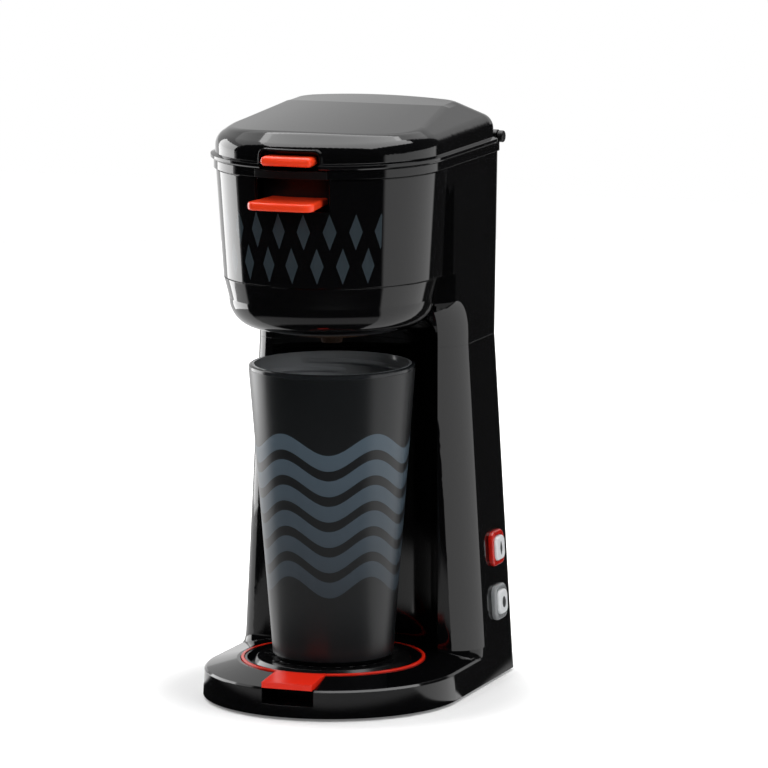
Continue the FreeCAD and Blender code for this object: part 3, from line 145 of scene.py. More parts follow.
def skin(name, colour, roughness, ior=1.5, grain_mm=0.6, grain=0.02, edge_mm=0.4,
         print_of=None, form_of=None, **extra):
    """Moulded plastic or metal skin.

    print_of(tree, place) gives the print's colour and mask; form_of(tree, place, normal) gives a
    smoother normal for a skin whose true form is known.
    """
    material, tree = new_material(name)
    place = add(tree, "ShaderNodeTexCoord")
    drift = add(tree, "ShaderNodeTexNoise", links=[(place.outputs["Object"], "Vector")],
                in_Scale=1 / (DRIFT_MM * MM), in_Detail=2.0)
    tone = add(tree, "ShaderNodeMixRGB", links=[(drift.outputs["Fac"], "Fac")],
               in_Color1=shade(1 - TONE_DRIFT, colour), in_Color2=shade(1 + TONE_DRIFT, colour))
    if print_of:
        ink, mask = print_of(tree, place.outputs["Object"])
        tone = add(tree, "ShaderNodeMixRGB",
                   links=[(mask, "Fac"), (tone.outputs["Color"], "Color1"), (ink, "Color2")])
    gloss = add(tree, "ShaderNodeMapRange", links=[(drift.outputs["Fac"], "Value")],
                in_3=roughness * (1 - GLOSS_DRIFT), in_4=roughness * (1 + GLOSS_DRIFT))
    edge = add(tree, "ShaderNodeBevel", samples=EDGE_SAMPLES, in_Radius=edge_mm * MM)
    normal = edge.outputs["Normal"]
    if form_of:
        normal = form_of(tree, place.outputs["Object"], normal)
    fine = add(tree, "ShaderNodeTexNoise", links=[(place.outputs["Object"], "Vector")],
               in_Scale=1 / (grain_mm * MM), in_Detail=1.0)
    bump = add(tree, "ShaderNodeBump",
               links=[(fine.outputs["Fac"], "Height"), (normal, "Normal")],
               in_Strength=grain, in_Distance=grain_mm * MM * GRAIN_DEPTH_SHARE)
    shader = add(tree, "ShaderNodeBsdfPrincipled",
                 links=[(tone.outputs["Color"], "Base Color"), (gloss.outputs["Result"], "Roughness"),
                        (bump.outputs["Normal"], "Normal")], **extra)
    if not extra.get("in_Metallic"):
        shader.inputs["IOR"].default_value = ior
    add(tree, "ShaderNodeOutputMaterial", links=[(shader.outputs["BSDF"], "Surface")])
    return material


print("skins drift over", DRIFT_MM, "mm")

# %% [markdown]
# ## Prints: the way round
# The cover and the tumbler are round about one upright axis, so a print on them is drawn as on an
# unrolled label: the angle about the axis gives the way along, and Z the height. A picture laid on
# an unwrapped mesh could do the same, but a formula stays sharp at any distance.

# %% Angle and height about the tumbler's axis
AXIS_Y_MM = -11.0


def round_axis(tree, place):
    """Sockets for the angle about the tumbler's axis, 0 at the front, and the height in mm."""
    scaled = add(tree, "ShaderNodeVectorMath", operation="MULTIPLY_ADD", links=[(place, 0)],
                 in_1=(1 / MM, 1 / MM, 1 / MM), in_2=(0, -AXIS_Y_MM, 0))
    parts = add(tree, "ShaderNodeSeparateXYZ", links=[(scaled.outputs["Vector"], "Vector")])
    front = add(tree, "ShaderNodeMath", operation="MULTIPLY", links=[(parts.outputs["Y"], 0)], in_1=-1.0)
    angle = add(tree, "ShaderNodeMath", operation="ARCTAN2",
                links=[(parts.outputs["X"], 0), (front.outputs["Value"], 1)])
    return angle.outputs["Value"], parts.outputs["Z"]


print("prints turn about Y", AXIS_Y_MM, "mm")

# %% [markdown]
# ## Lozenges on the front cover
# The cover carries two staggered rows of lozenges in slate grey. A point lies in a lozenge where
# its share of the half width plus its share of the half height is under 1. Folding the way along
# with Ping-Pong repeats one lozenge along the row.

# %% Lozenge print
COVER_R_MM = 55.5
LOZENGE_PITCH_MM = 13.0
LOZENGE_HALF_MM = 3.4
LOZENGE_TALL_MM = 9.0
LOZENGE_ROWS_MM = (226.0, 243.0)
LOZENGE_REACH_MM = 46.0
LOZENGE_INK = "#30383d"


def lozenges(tree, place):
    """Slate-grey lozenges in two rows, the upper row shifted by half a pitch."""
    angle, height = round_axis(tree, place)
    along = add(tree, "ShaderNodeMath", operation="MULTIPLY", links=[(angle, 0)], in_1=COVER_R_MM)
    reach = add(tree, "ShaderNodeMath", operation="ABSOLUTE", links=[(along.outputs["Value"], 0)])
    within = add(tree, "ShaderNodeMath", operation="LESS_THAN", links=[(reach.outputs["Value"], 0)],
                 in_1=LOZENGE_REACH_MM)
    rows = []
    for row, row_z in enumerate(LOZENGE_ROWS_MM):
        shifted = add(tree, "ShaderNodeMath", operation="ADD", links=[(along.outputs["Value"], 0)],
                      in_1=row * LOZENGE_PITCH_MM / 2)
        side = add(tree, "ShaderNodeMath", operation="PINGPONG", links=[(shifted.outputs["Value"], 0)],
                   in_1=LOZENGE_PITCH_MM / 2)
        side = add(tree, "ShaderNodeMath", operation="DIVIDE", links=[(side.outputs["Value"], 0)],
                   in_1=LOZENGE_HALF_MM)
        rise = add(tree, "ShaderNodeMath", operation="SUBTRACT", links=[(height, 0)], in_1=row_z)
        rise = add(tree, "ShaderNodeMath", operation="ABSOLUTE", links=[(rise.outputs["Value"], 0)])
        shares = add(tree, "ShaderNodeMath", operation="MULTIPLY_ADD",
                     links=[(rise.outputs["Value"], 0), (side.outputs["Value"], 2)],
                     in_1=1 / LOZENGE_TALL_MM)
        rows.append(add(tree, "ShaderNodeMath", operation="LESS_THAN",
                        links=[(shares.outputs["Value"], 0)], in_1=1.0))
    either = add(tree, "ShaderNodeMath", operation="MAXIMUM",
                 links=[(rows[0].outputs["Value"], 0), (rows[1].outputs["Value"], 1)])
    mask = add(tree, "ShaderNodeMath", operation="MULTIPLY",
               links=[(either.outputs["Value"], 0), (within.outputs["Value"], 1)])
    ink = add(tree, "ShaderNodeRGB")
    ink.outputs["Color"].default_value = linear(LOZENGE_INK)
    return ink.outputs["Color"], mask.outputs["Value"]


print("lozenges in a row:", int(2 * LOZENGE_REACH_MM / LOZENGE_PITCH_MM))

# %% [markdown]
# ## Waves on the tumbler
# The tumbler carries stacked waves in slate blue. A sine of the angle lifts and lowers the
# height, and the lifted height is cut into even bands, so every wave has the same swell.

# %% Wave print
WAVE_PITCH_MM = 13.0
WAVE_LOW_MM = 4.5 * WAVE_PITCH_MM
WAVE_HIGH_MM = 10.5 * WAVE_PITCH_MM
WAVE_HEIGHT_MM = 5.0
WAVE_BAND_SHARE = 0.31
WAVES_ROUND = 5.0
WAVE_LOW_INK = "#2b343c"
WAVE_HIGH_INK = "#46545f"


def waves(tree, place):
    """Stacked slate-blue waves round the tumbler, lighter towards the top."""
    angle, height = round_axis(tree, place)
    turns = add(tree, "ShaderNodeMath", operation="MULTIPLY", links=[(angle, 0)], in_1=WAVES_ROUND)
    swell = add(tree, "ShaderNodeMath", operation="SINE", links=[(turns.outputs["Value"], 0)])
    crest = add(tree, "ShaderNodeMath", operation="MULTIPLY_ADD",
                links=[(swell.outputs["Value"], 0), (height, 2)], in_1=WAVE_HEIGHT_MM)
    step = add(tree, "ShaderNodeMath", operation="PINGPONG", links=[(crest.outputs["Value"], 0)],
               in_1=WAVE_PITCH_MM / 2)
    band = add(tree, "ShaderNodeMath", operation="LESS_THAN", links=[(step.outputs["Value"], 0)],
               in_1=WAVE_PITCH_MM * WAVE_BAND_SHARE)
    above = add(tree, "ShaderNodeMath", operation="GREATER_THAN", links=[(crest.outputs["Value"], 0)],
                in_1=WAVE_LOW_MM)
    below = add(tree, "ShaderNodeMath", operation="LESS_THAN", links=[(crest.outputs["Value"], 0)],
                in_1=WAVE_HIGH_MM)
    inside = add(tree, "ShaderNodeMath", operation="MULTIPLY",
                 links=[(above.outputs["Value"], 0), (below.outputs["Value"], 1)])
    mask = add(tree, "ShaderNodeMath", operation="MULTIPLY",
               links=[(band.outputs["Value"], 0), (inside.outputs["Value"], 1)])
    fade = add(tree, "ShaderNodeMapRange", links=[(height, "Value")], in_1=WAVE_LOW_MM, in_2=WAVE_HIGH_MM)
    ink = add(tree, "ShaderNodeMixRGB", links=[(fade.outputs["Result"], "Fac")],
              in_Color1=linear(WAVE_LOW_INK), in_Color2=linear(WAVE_HIGH_INK))
    return ink.outputs["Color"], mask.outputs["Value"]


print("waves from", WAVE_LOW_MM, "to", WAVE_HIGH_MM, "mm")

# %% [markdown]
# ## Dark lip of the tumbler's liner
# The liner's grey is lifted as painted light for its shaded inside. The outer half of its rolled lip,
# which stands in the light, is black instead and carries none of that painted light.
# The lip is the widest part of the liner, so the distance from the axis alone picks it out.

# %% Lip colour
LIP_ROLL_MM = 1.8
LIP_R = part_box("mug_liner")[1][0] - LIP_ROLL_MM * MM
LIP_BLACK = "#1c1e20"


def dark_lip(tree, place):
    """Black on the outer half of the liner's rolled lip."""
    flat = add(tree, "ShaderNodeVectorMath", operation="MULTIPLY_ADD", links=[(place, 0)],
               in_1=(1, 1, 0), in_2=(0, -AXIS_Y_MM * MM, 0))
    reach = add(tree, "ShaderNodeVectorMath", operation="LENGTH", links=[(flat.outputs["Vector"], 0)])
    mask = add(tree, "ShaderNodeMath", operation="GREATER_THAN", links=[(reach.outputs["Value"], 0)],
               in_1=LIP_R)
    ink = add(tree, "ShaderNodeRGB")
    ink.outputs["Color"].default_value = linear(LIP_BLACK)
    return ink.outputs["Color"], mask.outputs["Value"]


print("lip is black outside", round(LIP_R / MM, 1), "mm")

# %% [markdown]
# ## Cone of the front cover
# A mirror finish shows every facet of a mesh. The front cover is a plain cone about the tumbler's
# axis, so its normal can be worked out at any point instead: straight out from the axis, tipped
# by the cone's slope. Behind the axis the cover runs straight back, and so does its normal. Where
# the mesh faces elsewhere, as at the edges, it keeps its own normal.

# %% Normal of the cover
COVER_PROBE = Vector((0.03, -0.2, 0.235))
TO_THE_BACK = Vector((0, 1, 0))
CONE_MATCH = 0.94

bpy.context.view_layer.update()
_, _, cover_out, _ = nodes["front_cover"].ray_cast(COVER_PROBE, TO_THE_BACK)
COVER_SLOPE = cover_out.z / math.hypot(cover_out.x, cover_out.y)


def choose(tree, mask, usual, formed):
    """Socket with the formed normal where the mask is 1, and the usual one elsewhere."""
    return add(tree, "ShaderNodeMix", data_type="VECTOR",
               links=[(mask.outputs["Value"], 0), (usual, 4), (formed.outputs["Vector"], 5)]).outputs[1]


def cone_form(tree, place, usual):
    """Normal of the cover's cone, wherever the skin follows it."""
    out = add(tree, "ShaderNodeVectorMath", operation="ADD", links=[(place, 0)],
              in_1=(0, -AXIS_Y_MM * MM, 0))
    out = add(tree, "ShaderNodeVectorMath", operation="MINIMUM", links=[(out.outputs["Vector"], 0)],
              in_1=(1, 0, 1))
    out = add(tree, "ShaderNodeVectorMath", operation="MULTIPLY", links=[(out.outputs["Vector"], 0)],
              in_1=(1, 1, 0))
    out = add(tree, "ShaderNodeVectorMath", operation="NORMALIZE", links=[(out.outputs["Vector"], 0)])
    out = add(tree, "ShaderNodeVectorMath", operation="ADD", links=[(out.outputs["Vector"], 0)],
              in_1=(0, 0, COVER_SLOPE))
    out = add(tree, "ShaderNodeVectorMath", operation="NORMALIZE", links=[(out.outputs["Vector"], 0)])
    match = add(tree, "ShaderNodeVectorMath", operation="DOT_PRODUCT",
                links=[(out.outputs["Vector"], 0), (usual, 1)])
    mask = add(tree, "ShaderNodeMath", operation="GREATER_THAN", links=[(match.outputs["Value"], 0)],
               in_1=CONE_MATCH)
    return choose(tree, mask, usual, out)


print("cover slope", round(COVER_SLOPE, 3))

# %% [markdown]
# ## Soft corners of the tower and the head
# The tower's front corner reads as a soft chamfer: nearly flat in its middle, with two edges that
# roll. The head's corner behind the cover turns late, so it reads as a narrow dark edge beside the
# flat side. The solids round both corners evenly, so the normals inside a room about each corner
# are drawn together to the flatter span of angles. The meshes stay as they are.

# %% Normals of the corners
CORNER_OWN_DEG = (-80.0, -1.5)
CORNER_DROP = 0.4
COLUMN_ROOM_MM = ((45, 75), (15, 45), (20, 202))
COLUMN_FLAT_DEG = (-38.0, -10.0)
SHOULDER_ROOM_MM = ((48, 75), (-8, 16), (196, 275))
SHOULDER_FLAT_DEG = (-60.0, -48.0)


def corner_form(room_mm, flat_deg):
    """Form of an upright corner inside a room of X, Y and Z spans: its normals are drawn together."""
    own = [math.radians(degrees) for degrees in CORNER_OWN_DEG]
    drawn = [math.radians(degrees) for degrees in flat_deg]

    def form(tree, place, usual):
        parts = add(tree, "ShaderNodeSeparateXYZ", links=[(usual, "Vector")])
        heading = add(tree, "ShaderNodeMath", operation="ARCTAN2",
                      links=[(parts.outputs["Y"], 0), (parts.outputs["X"], 1)])
        flat = add(tree, "ShaderNodeMapRange", links=[(heading.outputs["Value"], "Value")],
                   in_1=own[0], in_2=own[1], in_3=drawn[0], in_4=drawn[1])
        across, along = [add(tree, "ShaderNodeMath", operation=way, links=[(flat.outputs["Result"], 0)])
                         for way in ("COSINE", "SINE")]
        drop = add(tree, "ShaderNodeMath", operation="MULTIPLY", links=[(parts.outputs["Z"], 0)],
                   in_1=CORNER_DROP)
        out = add(tree, "ShaderNodeCombineXYZ",
                  links=[(across.outputs["Value"], "X"), (along.outputs["Value"], "Y"),
                         (drop.outputs["Value"], "Z")])
        out = add(tree, "ShaderNodeVectorMath", operation="NORMALIZE", links=[(out.outputs["Vector"], 0)])
        spot = add(tree, "ShaderNodeSeparateXYZ", links=[(place, "Vector")])
        mask = add(tree, "ShaderNodeMath", operation="COMPARE", links=[(heading.outputs["Value"], 0)],
                   in_1=(own[0] + own[1]) / 2, in_2=(own[1] - own[0]) / 2)
        for axis, (low, high) in zip("XYZ", room_mm):
            within = add(tree, "ShaderNodeMath", operation="COMPARE", links=[(spot.outputs[axis], 0)],
                         in_1=(low + high) / 2 * MM, in_2=(high - low) / 2 * MM)
            mask = add(tree, "ShaderNodeMath", operation="MULTIPLY",
                       links=[(mask.outputs["Value"], 0), (within.outputs["Value"], 1)])
        return choose(tree, mask, usual, out)
    return form


column_form = corner_form(COLUMN_ROOM_MM, COLUMN_FLAT_DEG)
shoulder_form = corner_form(SHOULDER_ROOM_MM, SHOULDER_FLAT_DEG)


def head_form(tree, place, usual):
    """Both corners of the head: the neck over the column, and the shoulder behind the cover."""
    return shoulder_form(tree, place, column_form(tree, place, usual))


print("corner normals drawn to", COLUMN_FLAT_DEG, "and", SHOULDER_FLAT_DEG, "degrees")

# %% [markdown]
# ## Black plastics
# The housings, the rim frame and the lid are ABS from a polished mould: almost black, with a
# mirror-like skin. The cover carries the print, and three skins take the forms worked out above.
# Pieces that are wet or hidden are polypropylene, which comes out of the mould duller.

# %% Black materials
PIANO = "#060607"
PIANO_IOR = 1.54

piano_black = skin("abs_polished_black", PIANO, 0.06, PIANO_IOR, grain=0.0)
printed_black = skin("abs_polished_black_printed", PIANO, 0.05, PIANO_IOR, grain=0.0,
                     print_of=lozenges, form_of=cone_form)
column_black = skin("abs_polished_black_column", PIANO, 0.08, PIANO_IOR, grain=0.0, form_of=column_form)
head_black = skin("abs_polished_black_head", PIANO, 0.06, PIANO_IOR, grain=0.0, form_of=head_form)
# Moulded polypropylene: a dull sheen that hides wear
dull_black = skin("polypropylene_black", "#101011", 0.38, grain_mm=0.8, grain=0.08)
# Satin ABS: the grate still mirrors the tray's ring, but softly
grate_black = skin("abs_satin_black", "#0c0c0d", 0.16, grain_mm=0.8, grain=0.03)
# Moulded rubber: no gloss at all
rubber = skin("rubber_black", "#191919", 0.6, grain_mm=0.9, grain=0.15)
print("black materials:", len(bpy.data.materials))

# %% [markdown]
# ## Coloured plastics
# What the hand takes hold of is orange-red ABS with a semi-gloss skin and edges rolled by almost a
# millimetre. The tumbler has a matt charcoal coat that shows one broad soft highlight, over a
# polypropylene liner. The liner's grey is made much lighter than the plastic's own darker grey. That
# is painted light for the inside, which the head shades.

# %% Coloured materials
red_abs = skin("abs_semi_gloss_red", "#ff4420", 0.2, grain_mm=0.7, grain=0.02, edge_mm=0.8)
# The tray's red is a little deeper than the handles'
red_tray = skin("abs_tray_red", "#ea2a16", 0.22, grain_mm=0.7, grain=0.02, edge_mm=0.6)
# Silver paint on ABS: pale and even
silver_abs = skin("abs_silver_paint", "#dcdee0", 0.28, grain_mm=0.5, grain=0.03, edge_mm=0.8)
tank_plastic = skin("polypropylene_grey", "#3a3b3d", 0.3, grain_mm=0.8, grain=0.05)
# Liner grey is painted light: lifted far above the plastic's own darker grey for the shaded inside
liner_grey_painted_light = skin("polypropylene_grey_painted_light", "#8b8e91", 0.16, grain_mm=0.8, grain=0.03,
                     print_of=dark_lip)
tumbler_coat = skin("matt_charcoal_coat", "#131517", 0.31, grain_mm=0.5, grain=0.02, print_of=waves)
# Pad-printing ink: flat and slightly rough on the glossier cap
mark_ink = skin("pad_print_dark_grey", "#2a2c2e", 0.4, grain_mm=0.4, grain=0.05)
print("with coloured plastics:", len(bpy.data.materials))

# %% [markdown]
# ## Clear plastics, metals and the board
# The nozzle and the button surrounds are polycarbonate, which bends light more than ABS and lets
# about half of it through. Metals keep the shader's own IOR, because the metal's colour already
# says how it reflects. The board is green glass-fibre laminate, and the fuse glazed ceramic.

# %% Other materials
PC_IOR = 1.585

smoky = skin("smoky_polycarbonate", "#5a4436", 0.12, PC_IOR, grain=0.0, in_Transmission_Weight=0.5)
red_clear = skin("red_polycarbonate", "#e02418", 0.1, PC_IOR, grain=0.0, in_Transmission_Weight=0.4)
clear = skin("clear_polycarbonate", "#c3c6c8", 0.08, PC_IOR, grain=0.0, in_Transmission_Weight=0.6)
# Drawn or pressed stainless steel: a grey, slightly blurred mirror
steel = skin("stainless_steel", "#b9babc", 0.28, grain_mm=0.5, grain=0.05, in_Metallic=1.0)
# Cast aluminium, left as it leaves the mould: a grainy, dull skin
cast_aluminium = skin("cast_aluminium", "#a9aaad", 0.45, grain_mm=0.9, grain=0.25, in_Metallic=1.0)
board_laminate = skin("glass_fibre_laminate_green", "#1d4a2c", 0.35, grain_mm=1.0, grain=0.1)
ceramic = skin("glazed_ceramic_white", "#d9d6cf", 0.2, grain=0.02)
print("materials:", len(bpy.data.materials))

# %% [markdown]
# ## Which piece is made of what
# Each solid gets one material. One table by material keeps the choice in view, and the count
# below shows at once whether a solid was forgotten.

# %% Give every solid its finish
FINISH = {
    piano_black: "top_frame lid_shell",
    head_black: "head_housing",
    column_black: "base_housing",
    printed_black: "front_cover",
    dull_black: "base_plate hinge_pins lid_liner needle_holder brew_basket capsule_holder",
    grate_black: "drip_grate",
    red_abs: "lid_pull_bar basket_handle",
    red_tray: "drip_tray",
    red_clear: "button_bezel_upper",
    clear: "button_bezel_lower led_lamps",
    silver_abs: "button_cap_upper button_cap_lower",
    smoky: "drip_nozzle outlet_dish",
    tank_plastic: "reservoir_tank reservoir_strainer check_valve",
    tumbler_coat: "mug_shell",
    liner_grey_painted_light: "mug_liner",
    rubber: "rubber_feet cord_gland mug_base_pad riser_seal lid_gasket cold_hose",
    steel: "base_screws head_screws upper_needle lower_needle heater_bracket thermostat",
    cast_aluminium: "heater_casting hot_riser",
    board_laminate: "control_board tact_switches",
    # The liner's grey carries painted light for the tumbler's shaded inside
    ceramic: "thermal_fuse",
}
dressed = set()
for material, names in FINISH.items():
    for name in names.split():
        nodes[name].data.materials.clear()
        nodes[name].data.materials.append(material)
        dressed.add(name)
print("dressed", len(dressed), "of", len(nodes), "left", sorted(set(nodes) - dressed))

# %% [markdown]
# ## Pieces that ride on the frame
# An added piece is a mesh from points and faces. It rides on the CAD body that carries it, so it
# follows every joint, and its slot says what it is made of.

# %% Added pieces


def mesh_piece(name, points, faces, material, body, smooth=True):
    """A mesh object that rides on a CAD body."""
    mesh = bpy.data.meshes.new(name)
    mesh.from_pydata(points, [], faces)
    mesh.polygons.foreach_set("use_smooth", [smooth] * len(mesh.polygons))
    mesh.materials.append(material)
    piece = bpy.data.objects.new(name, mesh)
    bpy.context.scene.collection.objects.link(piece)
    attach(piece, body)
    return piece


# %% [markdown]
# ## Thread inside the tumbler
# The tumbler's screw lid grips two thread ridges inside the lip. Each ridge is swept round the
# axis a little over half a turn while it rises, with a rounded section that fades at both ends.
# The wall it sits on is found by looking outward from the axis, so it fits the liner's taper, and
# its edges bite a little into the wall so that no gap shows.

# %% Thread ridges
THREAD_TOP_MM = 165.5
THREAD_PITCH_MM = 9.0
THREAD_STARTS = 2
THREAD_TURN_DEG = 215.0
THREAD_FROM_DEG = 10.0
THREAD_STEPS = 120
THREAD_TALL_MM = 3.0
THREAD_DEEP_MM = 1.7
THREAD_BITE_MM = 0.05
THREAD_SECTION = 8
THREAD_FADE_DEG = 14.0
THREAD_END_SHARE = 0.02
AXIS = Vector((0.0, AXIS_Y_MM * MM, 0.0))


def liner_radius(z):
    """Radius in metres of the liner's inner wall at height z."""
    hit, point, _, _ = nodes["mug_liner"].ray_cast(AXIS + Vector((0, 0, z)), Vector((1, 0, 0)))
    assert hit, z
    return point.x


def thread_ridge(start_deg):
    """Points and faces of one ridge, from its lower end up to the lip."""
    points, faces = [], []
    low = THREAD_TOP_MM - THREAD_PITCH_MM * THREAD_TURN_DEG / 360
    for step in range(THREAD_STEPS + 1):
        gone = THREAD_TURN_DEG * step / THREAD_STEPS
        fade = min(1.0, gone / THREAD_FADE_DEG, (THREAD_TURN_DEG - gone) / THREAD_FADE_DEG)
        deep = THREAD_DEEP_MM * max(THREAD_END_SHARE, math.sin(fade * math.pi / 2))
        angle = math.radians(start_deg + gone)
        middle = low + THREAD_PITCH_MM * gone / 360
        for k in range(THREAD_SECTION + 1):
            across = k / THREAD_SECTION
            z = (middle + THREAD_TALL_MM * (across - 0.5)) * MM
            r = liner_radius(z) + (THREAD_BITE_MM - deep * math.sin(math.pi * across)) * MM
            points.append(AXIS + Vector((r * math.sin(angle), -r * math.cos(angle), z)))
    row = THREAD_SECTION + 1
    for step in range(THREAD_STEPS):
        for k in range(THREAD_SECTION):
            a = step * row + k
            faces.append((a, a + 1, a + row + 1, a + row))
    return points, faces


for start in range(THREAD_STARTS):
    points, faces = thread_ridge(360.0 * start / THREAD_STARTS + THREAD_FROM_DEG)
    # The ridges take the liner's grey, with its painted light
    mesh_piece(f"thread_ridge_{start + 1}", points, faces, liner_grey_painted_light, "tumbler")
print("thread faces:", len(faces), "in each of", THREAD_STARTS)

# %% [markdown]
# ## Pull bar of the lid
# The red bar in the lid's notch is round to the touch: every edge is rolled by almost half its
# height. The solid marks its place, and this softer form takes its place in the picture. A bevel
# on a box gives the roll in one step.

# %% Pull bar
PULL_ROUND_MM = 2.2
PULL_SEGMENTS = 6
PULL_PROFILE = 0.5


def rolled_block(node, round_mm):
    """Points and faces that fill a node's box, with all its edges rolled."""
    low, high = (Vector(corner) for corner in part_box(node))
    shape = bmesh.new()
    bmesh.ops.create_cube(shape, size=1.0)
    for vertex in shape.verts:
        vertex.co = (low + high) / 2 + Vector(c * (b - a) for c, a, b in zip(vertex.co, low, high))
    bmesh.ops.bevel(shape, geom=shape.edges[:], offset=round_mm * MM, segments=PULL_SEGMENTS,
                    profile=PULL_PROFILE, affect="EDGES", clamp_overlap=True)
    shape.verts.index_update()
    points = [v.co.copy() for v in shape.verts]
    faces = [tuple(v.index for v in face.verts) for face in shape.faces]
    shape.free()
    return points, faces


points, faces = rolled_block("lid_pull_bar", PULL_ROUND_MM)
bar = mesh_piece("pull_bar_rolled", points, faces, red_abs, "lid")
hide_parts("lid_pull_bar")
print("pull bar faces:", len(faces))

# %% [markdown]
# ## Marks on the button caps
# Each cap carries a small dark mark: an upright lozenge for one brew, a round bean for the other.
# A mark is a thin pad, domed a little, laid on the cap's leaning outer face. One curve, the
# superellipse, gives both outlines.

# %% Cap marks
MARK_T_MM = 0.12
MARK_STEPS = 32
# Height in thicknesses, and share of the outline: foot, shoulder and top of a pad
MARK_RINGS = ((-1.0, 1.0), (0.6, 1.0), (1.0, 0.9))
# Half width and half height in mm, and the power of the superellipse
MARK_SHAPES = {"upper": (1.5, 3.6, 1.3), "lower": (2.4, 2.9, 2.0)}
CAP_LOOK_MM = 10.0


def cap_face(node):
    """Middle of a cap's outer face, with the directions out of it, along it and up it."""
    low, high = (Vector(corner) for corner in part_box(node))
    middle = (low + high) / 2
    start = Vector((high.x + CAP_LOOK_MM * MM, middle.y, middle.z))
    hit, face, out, _ = nodes[node].ray_cast(start, Vector((-1, 0, 0)))
    assert hit, node
    return face, out, TO_THE_BACK, out.cross(TO_THE_BACK).normalized()


def superellipse(half_w, half_h, power):
    """Outline between a lozenge (power 1) and a box (large power)."""
    outline = []
    for i in range(MARK_STEPS):
        t = 2 * math.pi * i / MARK_STEPS
        c, s = math.cos(t), math.sin(t)
        outline.append((half_w * math.copysign(abs(c) ** (2 / power), c),
                        half_h * math.copysign(abs(s) ** (2 / power), s)))
    return outline


def pad(name, outline_mm, node, body):
    """Thin pad with a closed outline, given as (along, up) points about the cap's middle."""
    face, out, along, up_way = cap_face(node)
    count = len(outline_mm)
    points, faces = [], []
    for level, share in MARK_RINGS:
        for a, u in outline_mm:
            points.append(face + (out * level * MARK_T_MM + along * a * share + up_way * u * share) * MM)
    for lower in (0, count):
        for i in range(count):
            j = (i + 1) % count
            faces.append((lower + i, lower + j, lower + count + j, lower + count + i))
    faces.append(tuple(range(2 * count, 3 * count)))
    mesh_piece(name, points, faces, mark_ink, body, smooth=False)


for which, shape in MARK_SHAPES.items():
    pad(f"mark_{which}", superellipse(*shape), f"button_cap_{which}", f"button_{which}")
print("cap marks on", [round(c, 4) for c in cap_face("button_cap_upper")[0]])

# %% [markdown]
# ## Studio
# Polished black shows little but its surroundings, so the surroundings are what draws its shape.
# The machine stands on a white table inside tall curved screens. The camera sees a plain white
# table with its shadow, and it doesn't see the screens. Mirror-like surfaces see table and screens
# in sectors, by compass direction: bright cards to the right and behind on the left, a grey
# wall behind, and darkness in front and in the gap behind on the right. No sector is brighter than
# white. A ring of the table near the machine is grey in front too, which gives the bowl's
# underside its grey.

# %% Brightness by compass direction
# Each sector runs from the one before it, the first from -180 degrees, to its end angle, counted
# from +X towards +Y about a point at the right-hand wall: end angle, brightness
SECTOR_APEX = (0.065, 0.0, 0.0)
SECTOR_SOFT_DEG = 1.5
DARK_FRONT = 0.01
GREY_FRONT = 0.45


def card_sectors(front):
    """Sectors of the table and the card screen, with the brightness of the front to be set."""
    return [(-177.0, 1.0), (-16.0, front), (60.0, 1.0), (84.0, 0.02), (112.0, 0.42), (180.0, 1.0)]


UPPER_SECTORS = [(72.0, 0.03), (180.0, 0.62)]
TOP_SECTORS = [(72.0, 0.03), (180.0, 1.0)]


def sector_light(tree, place, sectors):
    """Socket with the brightness of each compass direction round the machine."""
    about = add(tree, "ShaderNodeVectorMath", operation="SUBTRACT", links=[(place, 0)], in_1=SECTOR_APEX)
    angle = add(tree, "ShaderNodeTexGradient", gradient_type="RADIAL",
                links=[(about.outputs["Vector"], "Vector")])
    ramp = add(tree, "ShaderNodeValToRGB", links=[(angle.outputs["Fac"], "Fac")])
    stops = ramp.color_ramp.elements
    stops[0].color = [sectors[0][1]] * 3 + [1.0]
    stops.remove(stops[1])
    for (end, level), (_, following) in zip(sectors, sectors[1:]):
        for degrees, value in ((end - SECTOR_SOFT_DEG, level), (end + SECTOR_SOFT_DEG, following)):
            stop = stops.new(degrees / 360 + 0.5)
            stop.color = [value] * 3 + [1.0]
    return ramp.outputs["Color"]


print("sectors:", len(card_sectors(DARK_FRONT)), "below,", len(TOP_SECTORS), "above")

# %% [markdown]
# ## Studio paper
# Table and screens are one kind of paper. It is a plain diffuse white that takes light and
# shadow. For the camera a glow is added that rises to full white a hand's breadth from the
# machine, so that the white background comes from the paper and not from more light on the
# object. Gloss sees the sectors instead, by Is Glossy Ray.

# %% Paper material
PAPER_GRAIN_MM = 8.0
PAPER_GRAIN = 0.01
WHITE_FROM = 0.08
WHITE_AT = 0.15
NEAR_FROM = (0.13, 0.17)
NEAR_TO = (0.28, 0.36)


